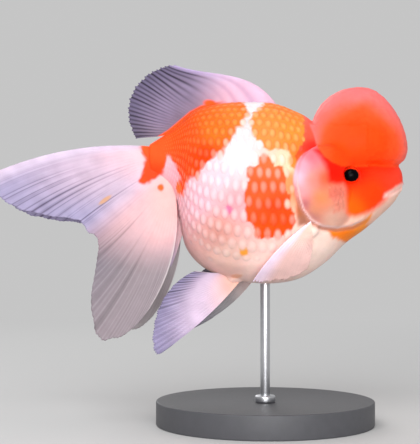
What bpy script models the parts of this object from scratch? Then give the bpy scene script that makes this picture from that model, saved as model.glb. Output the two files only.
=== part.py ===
"""A crown pearlscale goldfish, life size, held as it swims by a plain display stand.

The body is one loft through named stations, parted by thin cuts into head, trunk and tail stalk. The
crown, gill covers, lips, eyes and fins are separate solids that meet it with a small gap. The fins are
fans of curved rays, given a thickness.

Frame: +X is towards the head, +Y is the fish's left side and +Z is up. The origin is the middle of the
stand's foot. Measures in the tables below are in millimetres, from a point SWIM_HEIGHT above the origin.
"""

import math
from collections import namedtuple

import bmesh
import bpy
from mathutils import Matrix, Vector

MM = 0.001
SWIM_HEIGHT = 77.0
GAP = 0.3
SIDES = {"right": -1, "left": 1}

# The body's stations, from the root of the tail to the lips. Each is a slice through the body: the
# place of its top and of its bottom in the middle plane, and half its width.
Station = namedtuple("Station", "top_x top_z bottom_x bottom_z half_width")
STATIONS = {
    "tail_root": Station(-38.3, 15.2, -38.0, 5.6, 3.0),
    "stalk": Station(-32.0, 19.2, -32.3, 1.9, 5.4),
    "vent": Station(-28.1, 22.5, -29.4, -4.1, 9.6),
    "rear_belly": Station(-24.8, 25.3, -28.0, -11.5, 14.8),
    "dorsal_end": Station(-21.1, 27.3, -25.6, -19.6, 19.3),
    "low_belly": Station(-14.2, 28.8, -19.5, -25.8, 23.4),
    "middle": Station(-6.3, 29.3, -8.9, -29.6, 25.4),
    "dorsal_start": Station(2.3, 28.9, 2.3, -30.5, 25.2),
    "shoulder": Station(8.6, 26.8, 11.6, -28.7, 23.6),
    "nape": Station(14.2, 23.7, 19.8, -23.5, 21.0),
    "cheek": Station(18.8, 18.4, 26.1, -17.4, 18.8),
    "eye": Station(25.7, 13.8, 32.7, -12.6, 16.8),
    "face": Station(33.3, 11.4, 38.9, -7.2, 13.6),
    "nose": Station(39.3, 10.5, 42.4, -3.7, 9.4),
    "mouth": Station(43.2, 8.8, 44.6, 0.1, 5.2),
    "lips": Station(45.0, 6.2, 45.2, 2.5, 2.2),
}
BODY_RINGS = 38
BODY_SIDES = 28
FLANK_FULLNESS = 2.25  # exponent of the slices: 2 is an ellipse, more is squarer
LOW_WIDTH = 0.08  # how far the widest level of a slice lies below its middle

NECK_CUT = (17.0, 0.5, 9.7)  # x and z of a point of the cut, and its slant in degrees
STALK_CUT = (-28.7, 9.0, 2.0)
CUTTER_SIZE = 200.0

CROWN_AT = (31.3, 21.0)
CROWN_RADII = (15.5, 17.0, 13.2)
CROWN_SAG = (0.029, 0.027)  # drop in mm for each square mm that a point lies forward or sideways
CROWN_SAG_SKEW = 1.0  # how much more it sags sideways at its rear than at its middle
CROWN_SQUARENESS = 3.0  # exponent of its plan: 2 is an ellipse, more is squarer
CROWN_SWEEP = 0.024  # how far its sides lie back, for each square mm that a point lies sideways
CROWN_SIDES = 22
CROWN_RINGS = 14

EYE_AT = (26.7, 13.9, 4.6)
EYE_RADIUS = 3.3
EYE_SOCKET_GAP = 0.35
EYE_SIDES = 14
EYE_RINGS = 9

GILL_COVER_AT = (18.6, 18.7, 1.0)
GILL_COVER_RADII = (10.9, 3.9, 13.2)
GILL_COVER_YAW = 27.0  # turned so that its rear edge stands out from the flank
GILL_COVER_LEAN = 14.0  # how far its lower end lies ahead of its upper end
GILL_COVER_SIDES = 16
GILL_COVER_RINGS = 10

LIPS_AT = (44.2, 0.0, 1.0)
LIPS_RADII = (2.0, 0.9)
LIPS_STRETCH = (0.8, 1.4, 1.0)
LIPS_TILT = 22.0

FIN_THICKNESS = 0.7
FIN_INSET = 1.6  # how deep a fin's root starts inside the flesh, before the flesh is cut from it

DORSAL_STATIONS = ("dorsal_start", "stalk")
DORSAL_TIP_CENTRE = (-29.7, 26.0)
DORSAL_TIP_RADIUS = 15.6
DORSAL_TIP_ARC = (92.0, 214.0)  # degrees above +X
DORSAL_BOW = (3.8, -0.8)
DORSAL_BOW_FALL = 2  # a higher power brings the fullest part of the bow nearer the root
DORSAL_WAVE = 0.9
DORSAL_RAYS = 16
DORSAL_STEPS = 7

TAIL_CENTRE = (-36.3, 8.5)
TAIL_ROOT_TOP = (-36.0, 0.6, 14.0)
TAIL_ROOT_BOTTOM = (-30.0, 4.4, -1.5)
TAIL_FAN = (4.0, 88.0)  # degrees below -X of the first and the last ray's tip
TAIL_FORK_LENGTH = 25.5
TAIL_BOW = 3.9
TAIL_SPLAY = (9.0, 21.0)  # degrees outward, of the upper and of the lower lobe
TAIL_TURN = {"right": (0.0, 0.0), "left": (2.0, 3.8)}  # degrees down, of its first and last ray
TAIL_WAVE = 1.3
TAIL_WAVE_COUNT = 2.5
TAIL_RAYS = 21
TAIL_STEPS = 7
Lobe = namedtuple("Lobe", "angle length spread_above spread_below")
TAIL_LOBES = (
    Lobe(5.0, 54.0, 23.6, 23.6),
    Lobe(46.0, 28.8, 7.0, 7.0),
    Lobe(74.0, 58.0, 13.9, 21.7),
)

# Each paired fin starts from a short root line and fans out between two angles, in degrees below -X.
# Its length goes from that of the first ray to that of the last; a higher power changes it sooner.
# Its cup is how far its middle stands out from the line between its root and its tips.
PairedFin = namedtuple(
    "PairedFin", "root root_side fan lengths length_power bow splay cup rays steps"
)
PAIRED_FINS = {
    "pectoral": PairedFin(
        root=((12.4, -11.2), (13.8, -14.2)),
        root_side=22.0,
        fan=(43.7, 88.0),
        lengths=(24.8, 12.6),
        length_power=0.75,
        bow=(1.7, -0.6),
        splay=0.0,
        cup=2.7,
        rays=10,
        steps=6,
    ),
    "pelvic": PairedFin(
        root=((-12.4, -26.6), (-8.1, -28.8)),
        root_side=6.5,
        fan=(-7.0, 46.0),
        lengths=(12.8, 35.4),
        length_power=1.0,
        bow=(-0.4, -1.4),
        splay=13.0,
        cup=0.0,
        rays=12,
        steps=6,
    ),
    "anal": PairedFin(
        root=((-28.0, -2.5), (-26.0, -8.5)),
        root_side=1.5,
        fan=(38.0, 78.0),
        lengths=(19.0, 20.5),
        length_power=1.0,
        bow=(0.4, -0.4),
        splay=6.0,
        cup=0.0,
        rays=8,
        steps=5,
    ),
}
# Where a fin is held otherwise than its mirror image
FIN_POSES = {
    "pelvic_fin_left": {
        "root": ((-9.0, -27.4), (-4.2, -29.8)),
        "fan": (-12.0, 45.0),
        "lengths": (13.2, 27.5),
        "bow": (-0.4, -1.9),
    },
}

STAND_BASE_RADIUS = 36.0
STAND_BASE_HEIGHT = 8.0
STAND_BASE_EDGE = 1.2
STAND_BASE_SIDES = 44
STAND_ROD_RADIUS = 1.6
STAND_ROD_SIDES = 16
STAND_ROD_REACH = 2.0  # how far the uncut rod runs into the belly, which trims it

FINISHES = {
    # name: linear base colour, roughness, metallic
    "red_crown": ((0.90, 0.09, 0.02), 0.35, 0.0),
    "red_face": ((0.92, 0.12, 0.03), 0.35, 0.0),
    "gill_white": ((0.90, 0.60, 0.52), 0.30, 0.0),
    "pearl_body": ((0.88, 0.70, 0.64), 0.35, 0.0),
    "orange_stalk": ((0.90, 0.22, 0.03), 0.35, 0.0),
    "fin_white": ((0.78, 0.72, 0.84), 0.40, 0.0),
    "eye_black": ((0.01, 0.01, 0.012), 0.08, 0.0),
    "stand_grey": ((0.10, 0.10, 0.11), 0.45, 0.0),
    "steel": ((0.62, 0.62, 0.64), 0.30, 1.0),
}


def lerp(a, b, share):
    return a + (b - a) * share


def place(x, y, z):
    """A point of the tables, in metres in the world frame."""
    return Vector((x, y, z + SWIM_HEIGHT)) * MM


def clear_scene():
    for obj in list(bpy.data.objects):
        bpy.data.objects.remove(obj)


def new_collection(name):
    collection = bpy.data.collections.new(name)
    bpy.context.scene.collection.children.link(collection)
    return collection


def finish_material(name):
    """The named finish as a Principled material, made once."""
    material = bpy.data.materials.get(name)
    if material is None:
        colour, roughness, metallic = FINISHES[name]
        material = bpy.data.materials.new(name)
        material.use_nodes = True
        shader = material.node_tree.nodes["Principled BSDF"]
        shader.inputs["Base Color"].default_value = (*colour, 1.0)
        shader.inputs["Roughness"].default_value = roughness
        shader.inputs["Metallic"].default_value = metallic
        material.diffuse_color = (*colour, 1.0)
    return material


def shade(obj, sharp_degrees=40.0):
    obj.data.shade_smooth()
    obj.data.set_sharp_from_angle(angle=math.radians(sharp_degrees))


def add_piece(name, mesh, finish):
    """A visible piece of the fish, in its collection, with its material."""
    obj = bpy.data.objects.new(name, mesh)
    obj.data.materials.clear()
    obj.data.materials.append(finish_material(finish))
    shade(obj)
    FISH.objects.link(obj)
    return obj


def add_cutter(name, mesh):
    """A helper that only cuts: the render and the build leave it out."""
    obj = bpy.data.objects.new(name, mesh)
    obj.hide_render = True
    obj.display_type = "WIRE"
    CUTTERS.objects.link(obj)
    return obj


def boolean(obj, operation, cutter):
    modifier = obj.modifiers.new(f"{operation.lower()} {cutter.name}", "BOOLEAN")
    modifier.operation = operation
    modifier.object = cutter
    modifier.solver = "EXACT"


def poles_sideways(point):
    """A point turned a quarter round X, so that a sphere's poles lie on the Y axis."""
    return Vector((point.x, -point.z, point.y))


def sphere_mesh(name, sides, rings, shape):
    """A UV sphere with its poles on the Z axis, whose points are moved by shape(point)."""
    mesh = bpy.data.meshes.new(name)
    bm = bmesh.new()
    bmesh.ops.create_uvsphere(bm, u_segments=sides, v_segments=rings, radius=1.0)
    for vertex in bm.verts:
        vertex.co = shape(vertex.co)
    bm.to_mesh(mesh)
    bm.free()
    return mesh


# The body


def station_at(along):
    """The body's slice at a number of stations from the tail root, by a Catmull-Rom curve."""
    rows = list(STATIONS.values())
    first = min(int(along), len(rows) - 2)
    share = along - first
    before, start, end, after = (
        rows[max(0, min(len(rows) - 1, first + step))] for step in (-1, 0, 1, 2)
    )
    values = [
        0.5
        * (
            2 * b
            + (c - a) * share
            + (2 * a - 5 * b + 4 * c - d) * share**2
            + (3 * b - a - 3 * c + d) * share**3
        )
        for a, b, c, d in zip(before, start, end, after)
    ]
    return Station(*values)


def station_number(name):
    return list(STATIONS).index(name)


def back_point(along):
    """The place on the back's middle line at a number of stations from the tail root."""
    station = station_at(along)
    return place(station.top_x, 0.0, station.top_z)


def squared(value):
    """A sine or cosine made into that of a squarer round."""
    return math.copysign(abs(value) ** (2.0 / FLANK_FULLNESS), value)


def body_point(on_sphere):
    """A point of the unit sphere moved onto the body: its pole at +Z becomes the lips."""
    ring = math.acos(max(-1.0, min(1.0, on_sphere.z))) / math.pi * BODY_RINGS
    last = len(STATIONS) - 1
    along = last * (1.0 - max(0.0, min(1.0, (ring - 1) / (BODY_RINGS - 2))))
    station = station_at(along)
    is_pole = ring < 0.5 or ring > BODY_RINGS - 0.5
    angle = math.atan2(-on_sphere.y, on_sphere.x)
    up = 0.0 if is_pole else squared(math.cos(angle))
    out = 0.0 if is_pole else squared(math.sin(angle))
    middle_x = (station.top_x + station.bottom_x) / 2
    middle_z = (station.top_z + station.bottom_z) / 2
    x = middle_x + up * (station.top_x - station.bottom_x) / 2
    z = middle_z + up * (station.top_z - station.bottom_z) / 2
    y = out * station.half_width * (1.0 - LOW_WIDTH * up)
    return place(x, y, z)


def half_space(name, cut, ahead):
    """A large block on one side of a slanted cut across the body, half a gap away from it."""
    cut_x, cut_z, slant = cut
    direction = 1 if ahead else -1
    mesh = bpy.data.meshes.new(name)
    bm = bmesh.new()
    bmesh.ops.create_cube(bm, size=CUTTER_SIZE * MM)
    shift = Vector((direction * (CUTTER_SIZE + GAP) / 2 * MM, 0, 0))
    turn = Matrix.Rotation(math.radians(slant), 4, "Y")
    bm.transform(Matrix.Translation(place(cut_x, 0, cut_z)) @ turn @ Matrix.Translation(shift))
    bm.to_mesh(mesh)
    bm.free()
    return add_cutter(name, mesh)


def grown(name, mesh):
    """A cutter of this shape, larger by the gap all over."""
    cutter = add_cutter(name, mesh.copy())
    displace = cutter.modifiers.new("gap", "DISPLACE")
    displace.strength = GAP * MM
    displace.mid_level = 0.0
    return cutter


def build_eyes():
    """The eyes, and their sockets as cutters."""
    sockets = []
    for side, sign in SIDES.items():
        x, y, z = EYE_AT
        centre = place(x, sign * y, z)
        mesh = sphere_mesh(
            f"eye_{side}",
            EYE_SIDES,
            EYE_RINGS,
            lambda p, c=centre: c + poles_sideways(p) * EYE_RADIUS * MM,
        )
        add_piece(f"eye_{side}", mesh, "eye_black")
        size = (EYE_RADIUS + EYE_SOCKET_GAP) * MM
        socket = sphere_mesh(
            f"socket_{side}",
            EYE_SIDES,
            EYE_RINGS,
            lambda p, c=centre: c + poles_sideways(p) * size,
        )
        sockets.append(add_cutter(f"socket_{side}", socket))
    return sockets


def build_body(sockets):
    """Head, trunk and tail stalk from one loft, and the grown loft that cuts what meets them."""
    whole = sphere_mesh("body", BODY_SIDES, BODY_RINGS, body_point)
    ahead_of_neck = half_space("ahead_of_neck", NECK_CUT, ahead=True)
    behind_neck = half_space("behind_neck", NECK_CUT, ahead=False)
    ahead_of_stalk = half_space("ahead_of_stalk", STALK_CUT, ahead=True)
    behind_stalk = half_space("behind_stalk", STALK_CUT, ahead=False)
    head = add_piece("head", whole, "red_face")
    boolean(head, "INTERSECT", ahead_of_neck)
    for socket in sockets:
        boolean(head, "DIFFERENCE", socket)
    trunk = add_piece("trunk", whole.copy(), "pearl_body")
    boolean(trunk, "INTERSECT", behind_neck)
    boolean(trunk, "INTERSECT", ahead_of_stalk)
    stalk = add_piece("tail_stalk", whole.copy(), "orange_stalk")
    boolean(stalk, "INTERSECT", behind_stalk)
    return grown("flesh", whole)


def crown_point(on_sphere):
    """A point of the crown: a squarish dome that sags at its front and over the cheeks."""
    x, y, z = on_sphere
    power = CROWN_SQUARENESS
    spread = (abs(x) ** power + abs(y) ** power) ** (1.0 / power)
    squarer = math.hypot(x, y) / max(spread, 1e-9)
    x, y, z = (p * r for p, r in zip((x * squarer, y * squarer, z), CROWN_RADII))
    sideways = CROWN_SAG[1] * (1.0 - CROWN_SAG_SKEW * x / CROWN_RADII[0])
    sag = CROWN_SAG[0] * max(0.0, x) ** 2 + sideways * y**2
    return place(CROWN_AT[0] + x - CROWN_SWEEP * y**2, y, CROWN_AT[1] + z - sag)


def build_crown(flesh, sockets):
    mesh = sphere_mesh("crown", CROWN_SIDES, CROWN_RINGS, crown_point)
    crown = add_piece("crown", mesh, "red_crown")
    boolean(crown, "DIFFERENCE", flesh)
    for socket in sockets:
        boolean(crown, "DIFFERENCE", socket)
    return grown("grown_crown", mesh)


def build_gill_covers(flesh, crown_cutter, sockets):
    """A lens on each cheek, turned so that its rear edge stands proud of the trunk."""
    for side, sign in SIDES.items():
        x, y, z = GILL_COVER_AT
        yaw = Matrix.Rotation(math.radians(-sign * GILL_COVER_YAW), 3, "Z")
        turn = yaw @ Matrix.Rotation(math.radians(-GILL_COVER_LEAN), 3, "Y")
        size = Matrix.Diagonal(Vector(GILL_COVER_RADII) * MM)
        centre = place(x, sign * y, z)
        mesh = sphere_mesh(
            f"gill_cover_{side}",
            GILL_COVER_SIDES,
            GILL_COVER_RINGS,
            lambda p, c=centre, m=turn @ size: c + m @ poles_sideways(p),
        )
        cover = add_piece(f"gill_cover_{side}", mesh, "gill_white")
        for cutter in (flesh, crown_cutter, *sockets):
            boolean(cover, "DIFFERENCE", cutter)


def build_lips(flesh):
    """A small ring round the mouth, at the front of the head."""
    bpy.ops.mesh.primitive_torus_add(
        major_segments=18,
        minor_segments=8,
        major_radius=LIPS_RADII[0] * MM,
        minor_radius=LIPS_RADII[1] * MM,
    )
    torus = bpy.context.object
    mesh = torus.data.copy()
    bpy.data.objects.remove(torus)
    face_forward = Matrix.Rotation(math.radians(90.0 + LIPS_TILT), 4, "Y")
    stretch = Matrix.Diagonal((*LIPS_STRETCH, 1.0))
    mesh.transform(Matrix.Translation(place(*LIPS_AT)) @ face_forward @ stretch)
    lips = add_piece("lips", mesh, "gill_white")
    boolean(lips, "DIFFERENCE", flesh)


# The fins


def ray_point(root, tip, share, bow, fall=1):
    """A point on a curved fin ray, from FIN_INSET short of its root to its tip.

    The ray is bowed by this much in the fish's middle plane, most at 1 / (1 + fall) of its length.
    """
    root = root - (tip - root).normalized() * FIN_INSET * MM
    chord = tip - root
    across = Vector((chord.z, 0.0, -chord.x)).normalized()
    fullest = fall**fall / (1 + fall) ** (1 + fall)
    return root + chord * share + across * bow * share * (1 - share) ** fall / fullest


def build_fin(name, rays, steps, surface, cutters):
    """A fin: a grid whose points follow surface(across, along), with a thickness."""
    bpy.ops.mesh.primitive_grid_add(x_subdivisions=rays, y_subdivisions=steps, size=1.0)
    grid = bpy.context.object
    mesh = grid.data.copy()
    bpy.data.objects.remove(grid)
    for vertex in mesh.vertices:
        vertex.co = surface(vertex.co.x + 0.5, vertex.co.y + 0.5)
    fin = add_piece(name, mesh, "fin_white")
    solidify = fin.modifiers.new("thickness", "SOLIDIFY")
    solidify.thickness = FIN_THICKNESS * MM
    solidify.offset = 0.0
    for cutter in cutters:
        boolean(fin, "DIFFERENCE", cutter)
    return fin


def build_dorsal_fin(flesh):
    start, end = (station_number(name) for name in DORSAL_STATIONS)
    centre = place(DORSAL_TIP_CENTRE[0], 0.0, DORSAL_TIP_CENTRE[1])

    def surface(across, along):
        root = back_point(lerp(start, end, across))
        angle = math.radians(lerp(*DORSAL_TIP_ARC, across))
        tip = centre + Vector((math.cos(angle), 0, math.sin(angle))) * DORSAL_TIP_RADIUS * MM
        bow = lerp(*DORSAL_BOW, across) * MM
        point = ray_point(root, tip, along, bow, DORSAL_BOW_FALL)
        point.y += DORSAL_WAVE * MM * along * math.sin(2 * math.pi * across)
        return point

    build_fin("dorsal_fin", DORSAL_RAYS, DORSAL_STEPS, surface, [flesh])


def tail_length(degrees):
    """How far the tail's margin lies from its centre, at an angle below -X."""
    length = TAIL_FORK_LENGTH
    for lobe in TAIL_LOBES:
        offset = degrees - lobe.angle
        spread = lobe.spread_below if offset > 0 else lobe.spread_above
        length += (lobe.length - TAIL_FORK_LENGTH) * math.exp(-((offset / spread) ** 2))
    return length


def build_tail_fin(side, sign, flesh):
    """One half of the double tail: an upper and a lower lobe joined at the fork."""
    centre = place(TAIL_CENTRE[0], 0.0, TAIL_CENTRE[1])
    root_top, root_bottom = (
        place(x, sign * y, z) for x, y, z in (TAIL_ROOT_TOP, TAIL_ROOT_BOTTOM)
    )

    def surface(across, along):
        degrees = lerp(*TAIL_FAN, across)
        angle = math.radians(degrees + lerp(*TAIL_TURN[side], across))
        splay = math.tan(math.radians(lerp(*TAIL_SPLAY, across)))
        outward = Vector((-math.cos(angle), sign * splay, -math.sin(angle)))
        tip = centre + outward * tail_length(degrees) * MM
        root = root_top.lerp(root_bottom, across)
        point = ray_point(root, tip, along, TAIL_BOW * MM * (1 - 2 * across))
        ripple = math.sin(2 * math.pi * TAIL_WAVE_COUNT * across)
        point.y += sign * TAIL_WAVE * MM * along * ripple
        return point

    build_fin(f"tail_fin_{side}", TAIL_RAYS, TAIL_STEPS, surface, [flesh])


def build_paired_fin(kind, side, sign, flesh):
    """A pectoral, pelvic or anal fin: a fan from a short root line on one side."""
    name = f"{kind}_fin_{side}"
    fin = PAIRED_FINS[kind]._replace(**FIN_POSES.get(name, {}))
    first, last = (place(x, sign * fin.root_side, z) for x, z in fin.root)
    splay = math.tan(math.radians(fin.splay))

    def surface(across, along):
        angle = math.radians(lerp(*fin.fan, across))
        length = lerp(*fin.lengths, across**fin.length_power) * MM
        outward = Vector((-math.cos(angle), sign * splay, -math.sin(angle)))
        tip = (first + last) / 2 + outward * length
        bow = lerp(*fin.bow, across) * MM
        point = ray_point(first.lerp(last, across), tip, along, bow)
        point.y += sign * fin.cup * MM * 4.0 * along * (1.0 - along)
        return point

    build_fin(name, fin.rays, fin.steps, surface, [flesh])


def build_stand(flesh):
    """A round base with a bevelled edge, and a rod up to the belly."""
    bpy.ops.mesh.primitive_cylinder_add(
        vertices=STAND_BASE_SIDES,
        radius=STAND_BASE_RADIUS * MM,
        depth=STAND_BASE_HEIGHT * MM,
        location=(0, 0, STAND_BASE_HEIGHT / 2 * MM),
    )
    disc = bpy.context.object
    base = add_piece("stand_base", disc.data.copy(), "stand_grey")
    base.location = disc.location
    bpy.data.objects.remove(disc)
    bevel = base.modifiers.new("edge", "BEVEL")
    bevel.width = STAND_BASE_EDGE * MM
    bevel.segments = 1
    bevel.limit_method = "ANGLE"
    bottom = STAND_BASE_HEIGHT + GAP
    top = SWIM_HEIGHT + STATIONS["dorsal_start"].bottom_z + STAND_ROD_REACH
    bpy.ops.mesh.primitive_cylinder_add(
        vertices=STAND_ROD_SIDES,
        radius=STAND_ROD_RADIUS * MM,
        depth=(top - bottom) * MM,
        location=(0, 0, (top + bottom) / 2 * MM),
    )
    shaft = bpy.context.object
    rod = add_piece("stand_rod", shaft.data.copy(), "steel")
    rod.location = shaft.location
    bpy.data.objects.remove(shaft)
    boolean(rod, "DIFFERENCE", flesh)


clear_scene()
FISH = new_collection("goldfish")
CUTTERS = new_collection("cutters")


def build():
    eye_sockets = build_eyes()
    flesh = build_body(eye_sockets)
    crown_cutter = build_crown(flesh, eye_sockets)
    build_gill_covers(flesh, crown_cutter, eye_sockets)
    build_lips(flesh)
    build_dorsal_fin(flesh)
    for side, sign in SIDES.items():
        build_tail_fin(side, sign, flesh)
        for kind in PAIRED_FINS:
            build_paired_fin(kind, side, sign, flesh)
    build_stand(flesh)


build()
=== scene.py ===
"""The looks of a crown pearlscale goldfish, life size, on its plain display stand.

One skin covers the head, crown, trunk and tail stalk. Pearl scales lie over its flanks as
solid domes, and the eyes, fins and stand are pieces of their own.

Measures are in millimetres in the fish's own frame: +X is towards the head, +Y is the fish's
left side and +Z is up, from a point SWIM_HEIGHT above the middle of the stand's foot.
"""

import logging
import math
from dataclasses import dataclass, field
from enum import Enum
from typing import NamedTuple

import bpy
import numpy as np
from mathutils import Matrix, Vector


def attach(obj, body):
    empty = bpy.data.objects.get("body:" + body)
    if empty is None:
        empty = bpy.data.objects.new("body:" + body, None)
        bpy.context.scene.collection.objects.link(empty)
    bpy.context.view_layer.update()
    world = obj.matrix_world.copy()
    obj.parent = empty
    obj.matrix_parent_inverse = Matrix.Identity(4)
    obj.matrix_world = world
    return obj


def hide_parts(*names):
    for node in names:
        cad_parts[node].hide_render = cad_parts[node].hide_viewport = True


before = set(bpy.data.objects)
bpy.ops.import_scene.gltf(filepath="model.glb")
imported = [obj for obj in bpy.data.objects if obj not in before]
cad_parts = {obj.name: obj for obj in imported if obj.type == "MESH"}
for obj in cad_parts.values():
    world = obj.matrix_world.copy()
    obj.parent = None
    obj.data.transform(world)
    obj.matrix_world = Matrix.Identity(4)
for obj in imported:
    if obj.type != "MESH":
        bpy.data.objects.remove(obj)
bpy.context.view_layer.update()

LOG = logging.getLogger("goldfish")
MM = 0.001
SWIM_HEIGHT = 77.0

Piece = bpy.types.Object
Node = bpy.types.Node
Points = np.ndarray
Values = np.ndarray
Colour = tuple[int, int, int]
Shade = tuple[float, float, float]
Place = tuple[float, float, float]
Corner = tuple[float, float]
Span = tuple[float, float]


# Shared helpers


def smooth_step(low: float, high: float, value: Values) -> Values:
    """A smooth rise from 0 at low to 1 at high.

    Args:
        low: where the rise starts.
        high: where it ends; it may be less than low, for a fall.
        value: the values to read.

    Returns:
        The share from 0 to 1 for each value.
    """
    share = np.clip((value - low) / (high - low), 0.0, 1.0)
    return share * share * (3.0 - 2.0 * share)


def mix(a: Values, b: Values, share: Values) -> Values:
    """Goes from a to b by a share."""
    return a + (b - a) * share


def band(value: Values, middle: float, width: float) -> Values:
    """A smooth band that is 1 at its middle and dies away over its width."""
    return np.exp(-(((value - middle) / width) ** 2))


def linear(colour: Colour) -> Points:
    """A colour of 0 to 255 a channel as linear light.

    Args:
        colour: red, green and blue as a screen shows them.

    Returns:
        The three linear values.
    """
    screen = np.array(colour, float) / 255.0
    return np.where(screen <= 0.04045, screen / 12.92, ((screen + 0.055) / 1.055) ** 2.4)


def lay(tint: Points, colour: Colour, share: Values) -> Points:
    """Lays a colour over a linear tint, by a share for each place."""
    return mix(tint, linear(colour), share[:, None])


def clear_selection() -> None:
    """Leaves nothing selected."""
    for obj in bpy.context.selected_objects:
        obj.select_set(False)


def make_active(obj: Piece) -> None:
    """Selects one object alone.

    Args:
        obj: the object to work on.
    """
    clear_selection()
    obj.select_set(True)
    bpy.context.view_layer.objects.active = obj


def read_vertices(obj: Piece, name: str = "co") -> Points:
    """What a mesh holds for its vertices, with no change of scale.

    Args:
        obj: a mesh object.
        name: "co" for places or "normal" for normals.

    Returns:
        One row for each vertex.
    """
    flat = np.empty(len(obj.data.vertices) * 3, np.float32)
    obj.data.vertices.foreach_get(name, flat)
    return flat.reshape(-1, 3).astype(float)


def to_world(points: Points) -> Points:
    """Places in fish millimetres as places in metres."""
    return (points + (0.0, 0.0, SWIM_HEIGHT)) * MM


def get_points(obj: Piece) -> Points:
    """The vertices of a mesh that stands at the origin, in fish millimetres."""
    return read_vertices(obj) / MM - (0.0, 0.0, SWIM_HEIGHT)


def put_points(obj: Piece, points: Points) -> None:
    """Moves a mesh's vertices to places in fish millimetres.

    Args:
        obj: a mesh object that stands at the origin.
        points: one row for each vertex.
    """
    obj.data.vertices.foreach_set("co", to_world(points).astype(np.float32).ravel())
    obj.data.update()


def raise_points(obj: Piece, heights: Values) -> None:
    """Moves each vertex along its normal.

    Args:
        obj: a mesh object that stands at the origin.
        heights: how far each vertex goes, in millimetres.
    """
    normals = read_vertices(obj, "normal")
    put_points(obj, get_points(obj) + normals * heights[:, None])


def apply_modifier(obj: Piece, kind: str, **settings: object) -> None:
    """Adds a modifier with these settings and applies it.

    Args:
        obj: the mesh object.
        kind: the modifier's type.
        settings: the modifier's own values by name.
    """
    make_active(obj)
    modifier = obj.modifiers.new(kind.lower(), kind)
    for name, value in settings.items():
        setattr(modifier, name, value)
    bpy.ops.object.modifier_apply(modifier=modifier.name)


def add_sphere(name: str, sides: int, rings: int) -> Piece:
    """A unit sphere with its poles on the Z axis.

    Args:
        name: the object's name.
        sides: segments round it.
        rings: rings from pole to pole.

    Returns:
        The sphere, selected and active.
    """
    clear_selection()
    bpy.ops.mesh.primitive_uv_sphere_add(segments=sides, ring_count=rings, radius=1.0)
    obj = bpy.context.object
    obj.name = name
    return obj


def poles_sideways(points: Points) -> Points:
    """A unit shape turned a quarter round X, so that its poles lie on the Y axis."""
    return np.stack([points[:, 0], -points[:, 2], points[:, 1]], axis=1)


def set_inputs(node: Node, values: dict[str, object]) -> None:
    """Sets a node's inputs by name.

    Args:
        node: the material's node.
        values: the value of each input.
    """
    for name, value in values.items():
        node.inputs[name].default_value = value


def store_tint(obj: Piece, colours: Points) -> None:
    """Keeps a linear colour for each vertex, which the finishes read.

    Args:
        obj: the mesh object.
        colours: red, green and blue in each row.
    """
    attribute = obj.data.color_attributes.new("tint", "FLOAT_COLOR", "POINT")
    rgba = np.ones((len(colours), 4), np.float32)
    rgba[:, :3] = np.clip(colours, 0.0, 1.0)
    attribute.data.foreach_set("color", rgba.ravel())


@dataclass(frozen=True)
class Ripples:
    """Smooth irregular variation through space, as a sum of seeded plane waves."""

    pitch: float
    seed: int
    waves: int = 20

    def at(self, points: Points) -> Values:
        """The variation, of about unit size, at each point.

        Args:
            points: places in millimetres.

        Returns:
            One value for each point.
        """
        random = np.random.default_rng(self.seed)
        directions = random.normal(size=(self.waves, points.shape[1]))
        directions /= np.linalg.norm(directions, axis=1)[:, None]
        pitches = self.pitch * random.uniform(0.7, 1.6, self.waves)
        phases = random.uniform(0.0, 2.0 * math.pi, self.waves)
        turns = points @ (directions * 2.0 * math.pi / pitches[:, None]).T + phases
        return np.sin(turns).sum(axis=1) / math.sqrt(self.waves / 2.0)


# Finishes


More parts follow.
